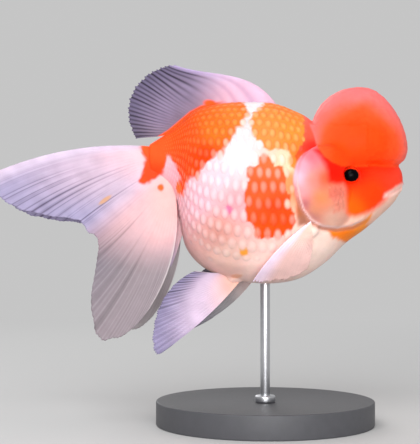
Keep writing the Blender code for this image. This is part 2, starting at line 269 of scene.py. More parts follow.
@dataclass(frozen=True)
class Finish:
    """How a surface looks: its gloss, how deep light goes into it, and its fine grain.

    A finish with no colour of its own reads the piece's tint.
    """

    name: str
    roughness: float
    colour: Colour | None = None
    metallic: float = 0.0
    specular: float = 0.4
    flesh: float = 0.0
    flesh_depth: float = 1.2
    flesh_spread: Shade = (1.0, 0.4, 0.25)
    grain_pitch: float = 1.0
    grain_height: float = 0.0
    mottle_pitch: float = 3.0
    mottle: float = 0.0

    def material(self) -> bpy.types.Material:
        """The finish as a material, made once.

        Returns:
            The material.
        """
        made = bpy.data.materials.get(self.name)
        if made is not None:
            return made
        made = bpy.data.materials.new(self.name)
        made.use_nodes = True
        tree = made.node_tree
        shader = tree.nodes["Principled BSDF"]
        set_inputs(shader, {
            "Roughness": self.roughness,
            "Metallic": self.metallic,
            "Specular IOR Level": self.specular,
            "Subsurface Weight": self.flesh,
            "Subsurface Scale": self.flesh_depth * MM,
            "Subsurface Radius": self.flesh_spread,
        })
        place = tree.nodes.new("ShaderNodeTexCoord").outputs["Object"]
        self._paint(tree, shader, place)
        if self.grain_height > 0.0:
            self._grain(tree, shader, place)
        return made

    def _noise(
        self, tree: bpy.types.NodeTree, place: bpy.types.NodeSocket, pitch: float
    ) -> Node:
        """A noise of this pitch in millimetres, on object coordinates.

        Args:
            tree: the material's nodes.
            place: the object coordinates.
            pitch: the size of its grains.

        Returns:
            The noise node.
        """
        noise = tree.nodes.new("ShaderNodeTexNoise")
        set_inputs(noise, {"Scale": 1.0 / (pitch * MM), "Detail": 3.0})
        tree.links.new(place, noise.inputs["Vector"])
        return noise

    def _paint(
        self, tree: bpy.types.NodeTree, shader: Node, place: bpy.types.NodeSocket
    ) -> None:
        """Links the base colour: the tint or the finish's own colour, mottled a little.

        Args:
            tree: the material's nodes.
            shader: its Principled node.
            place: the object coordinates.
        """
        spread = tree.nodes.new("ShaderNodeMapRange")
        low, high = 1.0 - self.mottle, 1.0 + self.mottle
        set_inputs(spread, {"From Min": 0.3, "From Max": 0.7, "To Min": low, "To Max": high})
        mottle = self._noise(tree, place, self.mottle_pitch)
        tree.links.new(mottle.outputs["Fac"], spread.inputs["Value"])
        scaled = tree.nodes.new("ShaderNodeVectorMath")
        scaled.operation = "SCALE"
        if self.colour is None:
            tint = tree.nodes.new("ShaderNodeAttribute")
            tint.attribute_name = "tint"
            tree.links.new(tint.outputs["Color"], scaled.inputs[0])
        else:
            scaled.inputs[0].default_value = linear(self.colour)
        tree.links.new(spread.outputs["Result"], scaled.inputs["Scale"])
        tree.links.new(scaled.outputs["Vector"], shader.inputs["Base Color"])

    def _grain(
        self, tree: bpy.types.NodeTree, shader: Node, place: bpy.types.NodeSocket
    ) -> None:
        """Links a fine relief and a little unevenness of gloss.

        Args:
            tree: the material's nodes.
            shader: its Principled node.
            place: the object coordinates.
        """
        noise = self._noise(tree, place, self.grain_pitch)
        bump = tree.nodes.new("ShaderNodeBump")
        set_inputs(bump, {"Distance": self.grain_height * MM})
        tree.links.new(noise.outputs["Fac"], bump.inputs["Height"])
        tree.links.new(bump.outputs["Normal"], shader.inputs["Normal"])
        gloss = tree.nodes.new("ShaderNodeMapRange")
        set_inputs(gloss, {"To Min": self.roughness * 0.8, "To Max": self.roughness * 1.25})
        tree.links.new(noise.outputs["Fac"], gloss.inputs["Value"])
        tree.links.new(gloss.outputs["Result"], shader.inputs["Roughness"])


SKIN_FINISH = Finish(
    "moist_skin", 0.45, specular=0.06, flesh=0.2, grain_pitch=0.5, grain_height=0.03, mottle=0.05
)
SCALE_FINISH = Finish("pearl_scale", 0.4, specular=0.12, flesh=0.2, flesh_depth=0.8, mottle=0.04)
FIN_FINISH = Finish(
    "fin_membrane", 0.5, specular=0.08, flesh=0.25, flesh_depth=0.8, flesh_spread=(1.0, 0.8, 0.9),
    mottle=0.04, grain_pitch=0.35, grain_height=0.02,
)
EYE_FINISH = Finish("wet_eye", 0.2, specular=0.04)
BASE_FINISH = Finish(
    "stand_satin", 0.5, colour=(72, 72, 76), grain_pitch=0.4, grain_height=0.02, mottle=0.05
)
STEEL_FINISH = Finish(
    "satin_steel", 0.32, colour=(196, 197, 201), metallic=1.0, grain_pitch=0.3, grain_height=0.004,
    mottle=0.03,
)


# The fish's shape


class Station(NamedTuple):
    """A slice through the body: its top and bottom in the middle plane, and half its width."""

    top_x: float
    top_z: float
    bottom_x: float
    bottom_z: float
    half_width: float


@dataclass(frozen=True)
class BodyShape:
    """The body as one loft through stations, from the root of the tail to the lips."""

    stations: tuple[Station, ...] = (
        Station(-38.3, 15.2, -38.0, 5.6, 3.0),
        Station(-32.0, 19.2, -32.3, 1.9, 5.4),
        Station(-28.1, 22.5, -29.4, -4.1, 9.6),
        Station(-24.8, 25.3, -28.0, -11.5, 14.8),
        Station(-21.1, 27.3, -25.6, -19.6, 19.3),
        Station(-14.2, 28.8, -19.5, -25.8, 23.4),
        Station(-6.3, 29.3, -8.9, -29.6, 25.4),
        Station(2.3, 28.9, 2.3, -30.5, 25.2),
        Station(8.6, 26.8, 11.6, -28.7, 23.6),
        Station(14.2, 23.7, 19.8, -23.5, 21.0),
        Station(18.8, 18.4, 26.1, -17.4, 18.8),
        Station(25.7, 13.8, 32.7, -12.6, 16.8),
        Station(33.3, 11.4, 38.9, -7.2, 13.6),
        Station(39.3, 10.5, 42.4, -3.7, 9.4),
        Station(43.2, 8.8, 44.6, 0.1, 5.2),
        Station(45.0, 6.2, 45.2, 2.5, 2.2),
    )
    stalk: int = 1
    middle: int = 6
    dorsal_start: int = 7
    flank_fullness: float = 2.25
    low_width: float = 0.08

    @property
    def last(self) -> int:
        """The number of the last station, at the lips."""
        return len(self.stations) - 1

    def slices(self, along: Values) -> Points:
        """The body's slices between its stations, by a Catmull-Rom curve.

        Args:
            along: numbers of stations from the tail root.

        Returns:
            A station's five values in each row.
        """
        rows = np.array(self.stations)
        first = np.clip(np.floor(along).astype(int), 0, self.last - 1)
        share = (along - first)[:, None]
        a, b, c, d = (rows[np.clip(first + step, 0, self.last)] for step in (-1, 0, 1, 2))
        return 0.5 * (
            2 * b
            + (c - a) * share
            + (2 * a - 5 * b + 4 * c - d) * share**2
            + (3 * b - a - 3 * c + d) * share**3
        )

    def squared(self, value: Values) -> Values:
        """A sine or cosine made into that of a squarer round."""
        return np.sign(value) * np.abs(value) ** (2.0 / self.flank_fullness)

    def surface(self, along: Values, angle: Values, reach: Values | float = 1.0) -> Points:
        """Places on the body.

        Args:
            along: numbers of stations from the tail root.
            angle: radians from the back's middle line, more than 0 on the left side.
            reach: 0 in the slice's middle and 1 on the surface.

        Returns:
            One place for each pair.
        """
        top_x, top_z, bottom_x, bottom_z, half_width = self.slices(along).T
        up = self.squared(np.cos(angle)) * reach
        out = self.squared(np.sin(angle)) * reach
        return np.stack(
            [
                (top_x + bottom_x) / 2 + up * (top_x - bottom_x) / 2,
                out * half_width * (1.0 - self.low_width * up),
                (top_z + bottom_z) / 2 + up * (top_z - bottom_z) / 2,
            ],
            axis=1,
        )

    def side_at(self, x: Values, z: Values, fine: int = 300) -> Values:
        """How far out the flank lies at places of the middle plane.

        Args:
            x: places along the fish.
            z: their heights.
            fine: how many slices to look through.

        Returns:
            The half width there, or 0 beyond the body's outline.
        """
        slices = self.slices(np.linspace(0.0, self.last, fine))
        top_x, top_z, bottom_x, bottom_z, _ = slices.T
        ahead = (x[:, None] - bottom_x) * (top_z - bottom_z)
        ahead = ahead > (z[:, None] - bottom_z) * (top_x - bottom_x)
        nearest = np.clip(ahead.sum(axis=1) - 1, 0, fine - 1)
        top_x, top_z, bottom_x, bottom_z, half_width = slices[nearest].T
        rise_x, rise_z = top_x - bottom_x, top_z - bottom_z
        up = (2 * x - top_x - bottom_x) * rise_x + (2 * z - top_z - bottom_z) * rise_z
        up = np.clip(up / (rise_x**2 + rise_z**2), -1.0, 1.0)
        out = (1.0 - np.abs(up) ** self.flank_fullness) ** (1.0 / self.flank_fullness)
        return out * half_width * (1.0 - self.low_width * up)

    def build(self, sides: int = 200, rings: int = 160) -> Piece:
        """The loft, shaped from a sphere whose upper pole becomes the lips.

        Args:
            sides: segments round the body.
            rings: rings from the tail root to the lips.

        Returns:
            The loft's object.
        """
        obj = add_sphere("body_form", sides, rings)
        unit = read_vertices(obj)
        ring = np.arccos(np.clip(unit[:, 2], -1.0, 1.0)) / math.pi * rings
        along = self.last * (1.0 - np.clip((ring - 1) / (rings - 2), 0.0, 1.0))
        is_pole = (ring < 0.5) | (ring > rings - 0.5)
        angle = np.arctan2(-unit[:, 1], unit[:, 0])
        put_points(obj, self.surface(along, angle, np.where(is_pole, 0.0, 1.0)))
        return obj


@dataclass(frozen=True)
class Crown:
    """The domed crown on the head: squarish from above, and sagging over the face and cheeks."""

    at: Place = (31.3, 0.0, 21.0)
    radii: Place = (15.5, 17.0, 13.2)
    squareness: float = 3.0
    front_sag: float = 0.029
    side_sag: float = 0.027
    sag_skew: float = 1.0
    sweep: float = 0.024

    def _spread(self, x: Values, y: Values) -> Values:
        """How far places lie from the middle, by the crown's own squarish round."""
        power = self.squareness
        return (np.abs(x) ** power + np.abs(y) ** power) ** (1.0 / power)

    def _sag(self, local: Points) -> Values:
        """How far a place of the crown hangs below the plain dome."""
        sideways = self.side_sag * (1.0 - self.sag_skew * local[:, 0] / self.radii[0])
        return self.front_sag * np.maximum(0.0, local[:, 0]) ** 2 + sideways * local[:, 1] ** 2

    def build(self) -> Piece:
        """The crown's form.

        Returns:
            The form's object.
        """
        obj = add_sphere("crown_form", 128, 96)
        unit = read_vertices(obj)
        round_reach = np.hypot(unit[:, 0], unit[:, 1])
        unit[:, :2] *= (round_reach / np.maximum(self._spread(*unit[:, :2].T), 1e-9))[:, None]
        local = unit * self.radii
        local[:, 2] -= self._sag(local)
        local[:, 0] -= self.sweep * local[:, 1] ** 2
        put_points(obj, local + self.at)
        return obj

    def level(self, points: Points) -> Values:
        """How far out places lie: 1 on the crown's surface and less inside it.

        Args:
            points: places in fish millimetres.

        Returns:
            One value for each place.
        """
        local = points - self.at
        local[:, 0] += self.sweep * local[:, 1] ** 2
        local[:, 2] += self._sag(local)
        x, y, z = (local / self.radii).T
        return np.hypot(self._spread(x, y), z)


@dataclass(frozen=True)
class GillCover:
    """The cover on one cheek: a lens whose rear edge stands proud of the trunk."""

    sign: int
    at: Place = (18.6, 18.7, 1.0)
    radii: Place = (10.9, 3.9, 13.2)
    yaw: float = 27.0
    lean: float = 14.0

    def _turn(self) -> Points:
        """The lens's turn as a matrix."""
        yaw = Matrix.Rotation(math.radians(-self.sign * self.yaw), 3, "Z")
        return np.array(yaw @ Matrix.Rotation(math.radians(-self.lean), 3, "Y"))

    def _centre(self) -> Points:
        """The lens's middle."""
        return np.array(self.at) * (1.0, self.sign, 1.0)

    def build(self) -> Piece:
        """The cover's form.

        Returns:
            The form's object.
        """
        obj = add_sphere("gill_cover_form", 96, 64)
        local = poles_sideways(read_vertices(obj)) * self.radii
        put_points(obj, local @ self._turn().T + self._centre())
        return obj

    def level(self, points: Points) -> Values:
        """How far out places lie: 1 on the lens's surface and less inside it."""
        return np.linalg.norm((points - self._centre()) @ self._turn() / self.radii, axis=1)


class Lump(NamedTuple):
    """A small rounded form that is merged into the skin on both sides."""

    at: Place
    radii: Place
    lean: float


LUMPS = (
    Lump((13.8, 20.6, -12.8), (3.2, 1.7, 2.2), -48.0),  # root of the pectoral fin
    Lump((-9.0, 6.0, -28.0), (4.2, 2.6, 2.0), -18.0),  # root of the pelvic fin
    Lump((-27.3, 1.6, -6.0), (2.2, 1.6, 3.6), 18.0),  # root of the anal fin
)


@dataclass(frozen=True)
class EyePlace:
    """Where the eyes lie, and how large they are."""

    at: Place = (26.7, 13.9, 4.6)
    radius: float = 3.3
    pupil: Span = (2.4, 2.05)
    rim: float = 2.95
    rim_thickness: float = 0.4
    rim_side: float = 15.5
    hollow: float = 2.2


# Markings


class Tint(NamedTuple):
    """A colour that holds round one place of the side view."""

    x: float
    z: float
    colour: Colour


def blend_tints(tints: tuple[Tint, ...], x: Values, z: Values) -> Points:
    """Colours that pass smoothly from tint to tint.

    Args:
        tints: the colours and their places.
        x: places along the fish.
        z: their heights.

    Returns:
        A linear colour for each place.
    """
    total = np.zeros((len(x), 3))
    weights = np.zeros(len(x))
    for tint in tints:
        weight = 1.0 / ((x - tint.x) ** 2 + (z - tint.z) ** 2 + 4.0) ** 1.5
        total += weight[:, None] * linear(tint.colour)
        weights += weight
    return total / weights[:, None]


def line_distance(start: Corner, end: Corner, x: Values, z: Values) -> Values:
    """How far places lie from a straight line.

    Args:
        start: the line's first end.
        end: its other end.
        x: places along the fish.
        z: their heights.

    Returns:
        The distance to the nearest point of the line.
    """
    (ax, az), (bx, bz) = start, end
    edge_x, edge_z = bx - ax, bz - az
    share = ((x - ax) * edge_x + (z - az) * edge_z) / (edge_x**2 + edge_z**2)
    share = np.clip(share, 0.0, 1.0)
    return np.hypot(x - ax - share * edge_x, z - az - share * edge_z)


def depth_inside(outline: tuple[Corner, ...], x: Values, z: Values) -> Values:
    """How deep places lie inside a closed outline.

    Args:
        outline: the outline's corners.
        x: places along the fish.
        z: their heights.

    Returns:
        The distance to the outline, less than 0 outside it.
    """
    nearest = np.full(len(x), np.inf)
    inside = np.zeros(len(x), bool)
    for start, end in zip(outline, outline[1:] + outline[:1]):
        nearest = np.minimum(nearest, line_distance(start, end, x, z))
        (ax, az), (bx, bz) = start, end
        if az != bz:
            inside ^= ((az > z) != (bz > z)) & (x < (bx - ax) * (z - az) / (bz - az) + ax)
    return np.where(inside, nearest, -nearest)


@dataclass(frozen=True)
class Patch:
    """A marking of the side view, with its own tints and its own pearls."""

    outline: tuple[Corner, ...]
    tints: tuple[Tint, ...]
    softness: float = 0.35
    raggedness: float = 0.5
    pearl: Span = (0.2, 0.2)
    """How white its inner pearls are, at its foot and at its top."""
    edge_pearl: float = 0.34
    """How white the pearls along its edge are."""
    glow: float = 0.0
    """How much yellower the middle of a scale is than its foot."""

    def inner_pearl(self, z: Values) -> Values:
        """How white the pearls well inside the patch are at these heights."""
        heights = [corner[1] for corner in self.outline]
        return mix(*self.pearl, smooth_step(min(heights), max(heights), z))

    def cover(self, x: Values, z: Values, rough: Values) -> Values:
        """How much of the patch shows at each place.

        Args:
            x: places along the fish.
            z: their heights.
            rough: the irregular variation there.

        Returns:
            A share from 0 to 1 for each place.
        """
        depth = depth_inside(self.outline, x, z) + rough * self.raggedness
        return smooth_step(-self.softness, self.softness, depth)


class Spot(NamedTuple):
    """A small round marking."""

    x: float
    z: float
    radius_x: float
    radius_z: float
    colour: Colour
    lean: float = 0.0
    """How many degrees its first axis leans up from +X."""
    fade: Span = (1.3, 0.6)
    """From where to where it fades in, as shares of its radii."""
    raggedness: float = 0.15

    def cover(self, x: Values, z: Values, rough: Values) -> Values:
        """How much of the spot shows at each place.

        Args:
            x: places along the fish.
            z: their heights.
            rough: the irregular variation there.

        Returns:
            A share from 0 to 1 for each place.
        """
        cosine, sine = math.cos(math.radians(self.lean)), math.sin(math.radians(self.lean))
        along = (x - self.x) * cosine + (z - self.z) * sine
        beside = (z - self.z) * cosine - (x - self.x) * sine
        far = np.hypot(along / self.radius_x, beside / self.radius_z)
        return smooth_step(*self.fade, far + self.raggedness * rough)


BODY_TINTS = (
    Tint(-3.5, 30.5, (240, 230, 234)),
    Tint(-4.0, 22.0, (206, 201, 202)),
    Tint(-10.0, 11.0, (215, 206, 209)),
    Tint(-16.0, 5.0, (232, 188, 198)),
    Tint(-22.0, -3.0, (230, 170, 182)),
    Tint(-10.0, -4.0, (228, 152, 158)),
    Tint(-15.0, -13.0, (206, 143, 133)),
    Tint(-12.0, -22.0, (224, 182, 170)),
    Tint(-2.0, -27.0, (244, 208, 198)),
    Tint(9.0, 3.0, (240, 130, 74)),
    Tint(8.0, 9.5, (238, 200, 168)),
    Tint(16.0, -20.0, (244, 214, 202)),
    Tint(-31.0, 6.0, (236, 170, 180)),
    Tint(32.0, -10.0, (234, 188, 168)),
)
PATCHES = {
    "rear_back": Patch(
        outline=(
            (-41.6, 18.4), (-34.6, 24.0), (-26.7, 28.9), (-16.5, 31.2), (-8.2, 31.6), (-6.9, 28.6),
            (-5.9, 26.3), (-5.6, 24.6), (-6.9, 23.6), (-7.9, 22.7), (-7.3, 21.3), (-9.6, 20.7),
            (-8.9, 19.4), (-11.2, 18.7), (-11.6, 16.7), (-13.2, 15.7), (-12.9, 14.1), (-14.2, 12.4),
            (-16.2, 12.1), (-16.8, 10.1), (-20.5, 9.1), (-21.1, 7.1), (-21.8, 5.5), (-24.8, 4.5),
            (-26.1, 2.2), (-27.1, -0.1), (-28.1, -1.8), (-28.7, 0.9), (-27.7, 4.2), (-29.4, 7.8),
            (-31.0, 10.6), (-32.6, 11.4), (-32.9, 9.3), (-33.4, 6.2), (-36.3, 4.1), (-39.6, 2.2),
            (-41.4, 3.1), (-40.4, 6.0), (-39.6, 10.1), (-40.8, 14.2),
        ),
        tints=(
            Tint(-10.0, 27.0, (250, 120, 44)),
            Tint(-17.0, 20.0, (250, 106, 30)),
            Tint(-25.0, 19.0, (250, 84, 24)),
            Tint(-20.0, 11.5, (250, 62, 8)),
            Tint(-35.0, 14.0, (250, 84, 34)),
            Tint(-37.0, 5.0, (250, 66, 24)),
        ),
        softness=0.7,
        raggedness=0.35,
        pearl=(0.04, 0.03),
        edge_pearl=0.26,
        glow=0.6,
    ),
    "front_back": Patch(
        outline=(
            (-4.6, 24.3), (-3.0, 26.3), (-1.0, 28.3), (1.7, 31.2), (11.6, 31.2), (16.8, 26.6),
            (15.8, 13.4), (11.6, 10.8), (11.6, 6.8), (10.2, 6.2), (8.2, 8.1), (8.9, 10.8),
            (7.3, 13.4), (5.6, 14.1), (3.3, 14.1), (1.7, 13.4), (-0.7, 14.1), (-1.0, 15.7),
            (-3.0, 16.4), (-3.3, 18.7), (-4.3, 20.4), (-4.6, 22.3),
        ),
        tints=(
            Tint(4.0, 27.0, (250, 134, 60)),
            Tint(9.0, 21.0, (250, 136, 52)),
            Tint(1.0, 18.0, (250, 134, 66)),
            Tint(12.0, 13.0, (250, 120, 46)),
        ),
        raggedness=0.35,
        pearl=(0.14, 0.04),
        edge_pearl=0.2,
        glow=0.4,
    ),
    "side": Patch(
        outline=(
            (-2.0, 11.1), (1.0, 12.1), (2.6, 10.1), (3.0, 8.1), (5.6, 8.1), (6.3, 5.2), (6.6, 0.2),
            (7.9, -1.4), (7.9, -5.4), (9.2, -7.7), (9.9, -10.3), (8.6, -13.3), (6.3, -15.0),
            (3.6, -15.3), (1.0, -15.0), (-1.0, -16.3), (-2.6, -15.3), (-3.3, -12.7), (-4.0, -10.7),
            (-5.9, -10.3), (-6.9, -8.4), (-6.6, -4.7), (-6.9, -0.4), (-6.6, 1.5), (-5.3, 3.5),
            (-6.3, 5.8), (-5.3, 7.8), (-1.3, 8.1),
        ),
        tints=(
            Tint(1.0, 8.0, (248, 100, 54)),
            Tint(0.0, 1.0, (250, 82, 32)),
            Tint(3.0, -6.0, (250, 64, 8)),
            Tint(2.0, -12.5, (250, 74, 14)),
        ),
        raggedness=0.35,
        pearl=(0.0, 0.36),
        edge_pearl=0.3,
    ),
    "nape": Patch(
        outline=(
            (13.5, 27.3), (16.8, 27.3), (19.5, 24.0), (18.8, 16.7), (20.8, 9.4), (16.8, 10.4),
            (14.2, 12.0), (12.2, 11.1), (10.2, 9.1), (9.9, 11.4), (11.2, 13.4), (12.9, 16.7),
            (12.9, 21.3), (12.5, 25.0),
        ),
        tints=(
            Tint(15.0, 25.0, (250, 104, 90)),
            Tint(14.5, 19.0, (250, 88, 66)),
            Tint(15.5, 14.5, (250, 34, 30)),
            Tint(12.0, 9.0, (250, 84, 30)),
        ),
        raggedness=0.25,
        pearl=(0.04, 0.04),
        edge_pearl=0.04,
    ),
    # Painted shade: a dark brown patch in the hollow under the gill cover's lower rear edge, where
    # shade falls.
    "pocket_painted_shade": Patch(
        outline=(
            (10.6, -3.7), (11.9, -4.1), (12.9, -6.0), (14.2, -8.7), (15.2, -10.3), (13.5, -11.7),
            (11.2, -11.7), (10.6, -8.4),
        ),
        tints=(Tint(12.0, -5.5, (180, 92, 46)), Tint(12.5, -10.0, (158, 104, 84))),
        softness=0.9,
        raggedness=0.3,
    ),
    "throat": Patch(
        outline=(
            (20.1, -12.2), (26.4, -11.8), (30.7, -10.6), (35.0, -8.0), (33.6, -12.6),
            (30.2, -15.8), (26.7, -17.0), (23.0, -15.8),
        ),
        tints=(Tint(27.0, -14.0, (246, 124, 18)), Tint(32.0, -12.0, (244, 142, 50))),
        softness=0.8,
        raggedness=0.3,
    ),
}
GILL_TINTS = (
    Tint(10.8, 4.6, (226, 178, 200)),
    Tint(12.0, -0.5, (230, 146, 150)),
    Tint(12.6, 8.6, (234, 148, 166)),
    Tint(15.0, 11.0, (240, 98, 112)),
    Tint(15.8, 4.0, (238, 132, 118)),
    Tint(19.4, 4.0, (240, 86, 44)),
    Tint(18.2, -2.4, (236, 130, 78)),
    Tint(16.4, -6.0, (210, 136, 98)),
    # The two dark mauve tints low on the cover are partly its own colour and partly painted shade
    # of its underside.
    Tint(12.8, -4.6, (164, 88, 100)),
    Tint(15.4, -8.6, (166, 108, 108)),
    Tint(22.0, -9.4, (206, 160, 142)),
)
FACE = Patch(
    outline=(
        (16.2, 13.4), (18.4, 11.0), (19.8, 8.8), (20.6, 6.2), (21.0, 2.9), (23.4, 2.2),
        (25.7, 2.3), (26.7, 0.7), (26.5, -3.4), (26.8, -7.2), (28.1, -8.2), (29.6, -8.6),
        (33.0, -7.8), (35.6, -6.4), (37.6, -5.1), (40.3, -2.1), (43.6, 1.2), (47.2, 2.9),
        (48.5, 10.1), (38.0, 15.4), (20.0, 15.4),
    ),
    tints=(
        Tint(19.5, 11.0, (250, 26, 14)),
        Tint(23.0, 6.0, (248, 20, 4)),
        Tint(30.0, 6.5, (248, 28, 4)),
        Tint(40.0, 8.0, (248, 48, 18)),
        Tint(35.0, -1.0, (248, 58, 6)),
        Tint(28.6, -6.0, (246, 92, 8)),
        Tint(43.5, 4.0, (246, 60, 34)),
    ),
    softness=1.3,
    raggedness=0.12,
)
GILL_EDGE = (
    (15.5, 12.5), (12.3, 10.0), (10.0, 7.0), (10.4, 1.6), (11.3, -2.6), (12.5, -6.4),
    (15.0, -9.8), (18.8, -11.9), (23.9, -12.5), (28.5, -11.7), (33.6, -9.4), (42.0, -3.0),
    (42.0, 16.0), (24.0, 18.0),
)
CHEEK = Patch(
    outline=((20.8, 1.9), (25.7, 1.5), (26.7, -3.1), (26.4, -6.4), (23.1, -6.4), (21.1, -2.4)),
    tints=(Tint(23.5, 0.0, (212, 108, 90)), Tint(24.5, -5.0, (208, 128, 108))),
    softness=0.9,
)
# A pale streak along the lips: partly their whitish underside and partly a painted highlight.
LIP_PALE_AND_HIGHLIGHT = Patch(
    outline=((45.6, 2.6), (42.6, 0.6), (39.6, -1.0), (39.2, -2.2), (42.4, -1.6), (45.8, 0.6)),
    tints=(Tint(42.0, 0.0, (248, 206, 196)),),
    softness=0.9,
    raggedness=0.0,
)
CROWN_LOBE = (
    (14.6, 22.0), (15.9, 18.9), (17.1, 14.6), (19.6, 11.3), (22.2, 9.4), (25.3, 8.1), (29.0, 7.8),
    (34.0, 8.0), (34.0, 22.0),
)
# Deep, salmon and pale: the salmon and pale towards the crown's rim are partly its own pinker rim
# and partly painted sheen and light from above.
CROWN_TINTS = ((248, 66, 12), (248, 86, 44), (244, 114, 114))
SPOTS = (
    Spot(-7.0, -20.1, 1.3, 1.2, (242, 156, 60)),
    Spot(-34.4, 1.1, 1.1, 1.3, (238, 96, 40)),
    Spot(-28.7, 1.0, 0.9, 2.2, (240, 110, 40)),
    Spot(-12.2, -6.1, 1.5, 1.6, (244, 112, 146)),
    Spot(-9.4, -28.2, 1.8, 0.8, (232, 172, 146)),
)


@dataclass(frozen=True)
class Markings:
    """The colours of skin, scales and fins, as smooth functions of place."""

    crown: Crown
    gill_covers: tuple[GillCover, ...]
    sight: Place = (-18.2, 450.0, -10.3)
    """The side view is drawn from this far to each side, towards this middle."""
    pearl_share: Span = (0.1, 0.3)
    pale_pearls_from: Span = (-24.0, -6.0)
    edge_reach: Span = (0.2, 2.8)
    plain_stalk: Span = (-33.0, -22.0)
    stalk_pearl: float = 0.2
    left_shift: Span = (3.2, -2.4)
    left_shift_from: Span = (1.0, 14.0)
    left_shift_before: Span = (18.0, 4.0)
    coarse: Ripples = Ripples(4.0, 3)
    fine: Ripples = Ripples(1.6, 5)
    coarse_share: float = 0.7
    fine_share: float = 0.4
    gill_fade: Span = (1.12, 1.02)
    crown_fade: Span = (1.07, 1.02)
    lobe_fade: Span = (-0.35, 0.35)
    crown_middle: Corner = (31.0, 12.0)
    crown_reach: Span = (15.0, 17.0)
    crown_clouds: Ripples = Ripples(9.0, 11)
    cloud_share: float = 0.03
    # Where the crown turns salmon and then pale towards its rim: partly its own colour and partly
    # painted sheen and light from above.
    salmon_rim_and_sheen_from: Span = (0.5, 1.05)
    pale_rim_and_sheen_from: Span = (0.8, 1.25)

    def side_view(self, points: Points) -> tuple[Values, Values]:
        """Where places show in the side view that the outlines are drawn in.

        The left side's view is shifted a little, so that its patches aren't a mirror image.

        Args:
            points: places in fish millimetres.

        Returns:
            The side view's x and z for each place.
        """
        x, y, z = points.T
        middle_x, distance, middle_z = self.sight
        scale = distance / (distance - np.abs(y))
        left = smooth_step(*self.left_shift_from, y) * smooth_step(*self.left_shift_before, x)
        return (
            middle_x + (x - middle_x) * scale + self.left_shift[0] * left,
            middle_z + (z - middle_z) * scale + self.left_shift[1] * left,
        )

    def rough(self, points: Points) -> Values:
        """The irregular variation that makes the patches' edges ragged."""
        return self.coarse_share * self.coarse.at(points) + self.fine_share * self.fine.at(points)

    def patches(self, points: Points, tint: Points) -> Points:
        """Lays the trunk's patches and spots over a colour.

        Args:
            points: places in fish millimetres.
            tint: the linear colour below them.

        Returns:
            The colour with the patches on it.
        """
        x, z = self.side_view(points)
        rough = self.rough(points)
        for patch in PATCHES.values():
            cover = patch.cover(x, z, rough)[:, None]
            tint = mix(tint, blend_tints(patch.tints, x, z), cover)
        for spot in SPOTS:
            tint = lay(tint, spot.colour, spot.cover(x, z, rough))
        return tint

    def spot_cover(self, x: Values, z: Values, rough: Values) -> Values:
        """How much of any spot shows at places of the side view."""
        return np.max([spot.cover(x, z, rough) for spot in SPOTS], axis=0)

    def colour(self, points: Points) -> Points:
        """The skin's colour at each place.

        Args:
            points: places in fish millimetres.

        Returns:
            A linear colour for each.
        """
        x, z = self.side_view(points)
        rough = self.rough(points)
        tint = self.patches(points, blend_tints(BODY_TINTS, x, z))
        for cover in self.gill_covers:
            share = smooth_step(*self.gill_fade, cover.level(points))[:, None]
            tint = mix(tint, blend_tints(GILL_TINTS, x, z), share)
        for patch in (FACE, CHEEK, LIP_PALE_AND_HIGHLIGHT):
            tint = mix(tint, blend_tints(patch.tints, x, z), patch.cover(x, z, rough)[:, None])
        return self._crown_colour(points, tint, x, z)

    def _crown_colour(self, points: Points, tint: Points, x: Values, z: Values) -> Points:
        """Lays the crown's colours over a tint: deep on its sides and salmon to pale over its
        ridge, partly the crown's own pinker rim and partly painted sheen and light from above.

        Args:
            points: places in fish millimetres.
            tint: the linear colour below them.
            x: the side view's x of each place.
            z: its z.

        Returns:
            The colour with the crown on it.
        """
        deep, middle, pale = (linear(colour) for colour in CROWN_TINTS)
        lobe = smooth_step(*self.lobe_fade, depth_inside(CROWN_LOBE, x, z))
        dome = smooth_step(*self.crown_fade, self.crown.level(points))
        share = np.maximum(dome, lobe)[:, None]
        (middle_x, middle_z), (reach_x, reach_z) = self.crown_middle, self.crown_reach
        far = np.hypot((x - middle_x) / reach_x, (z - middle_z) / reach_z)
        far = far + self.cloud_share * self.crown_clouds.at(points)
        # Salmon and pale towards the rim: partly the crown's own colour, partly painted sheen and
        # light from above.
        crown = mix(deep, middle, smooth_step(*self.salmon_rim_and_sheen_from, far)[:, None])
        crown = mix(crown, pale, smooth_step(*self.pale_rim_and_sheen_from, far)[:, None])
        return mix(tint, crown, share)

    def pearl(self, points: Points) -> Values:
        """How white the pearl on a scale is: inside a patch, whitest along its edge.

        Args:
            points: places in fish millimetres.

        Returns:
            A share from 0 to 1 for each place.
        """
        x, z = self.side_view(points)
        rough = self.rough(points)
        share = mix(*self.pearl_share, smooth_step(*self.pale_pearls_from, z))
        for patch in PATCHES.values():
            depth = depth_inside(patch.outline, x, z) + rough * patch.raggedness
            inner = smooth_step(*self.edge_reach, depth)
            inner = mix(patch.edge_pearl, patch.inner_pearl(z), inner)
            share = mix(share, inner, smooth_step(-patch.softness, patch.softness, depth))
        share = share * mix(self.stalk_pearl, 1.0, smooth_step(*self.plain_stalk, x))
        return share * (1.0 - self.spot_cover(x, z, rough))

    def glow(self, points: Points) -> Values:
        """How much yellower a scale's middle is than its foot at each place, from 0 to 1.

        Args:
            points: places in fish millimetres.

        Returns:
            A share for each place.
        """
        x, z = self.side_view(points)
        rough = self.rough(points)
        share = np.zeros(len(x))
        for patch in PATCHES.values():
            share = mix(share, patch.glow, patch.cover(x, z, rough))
        return share


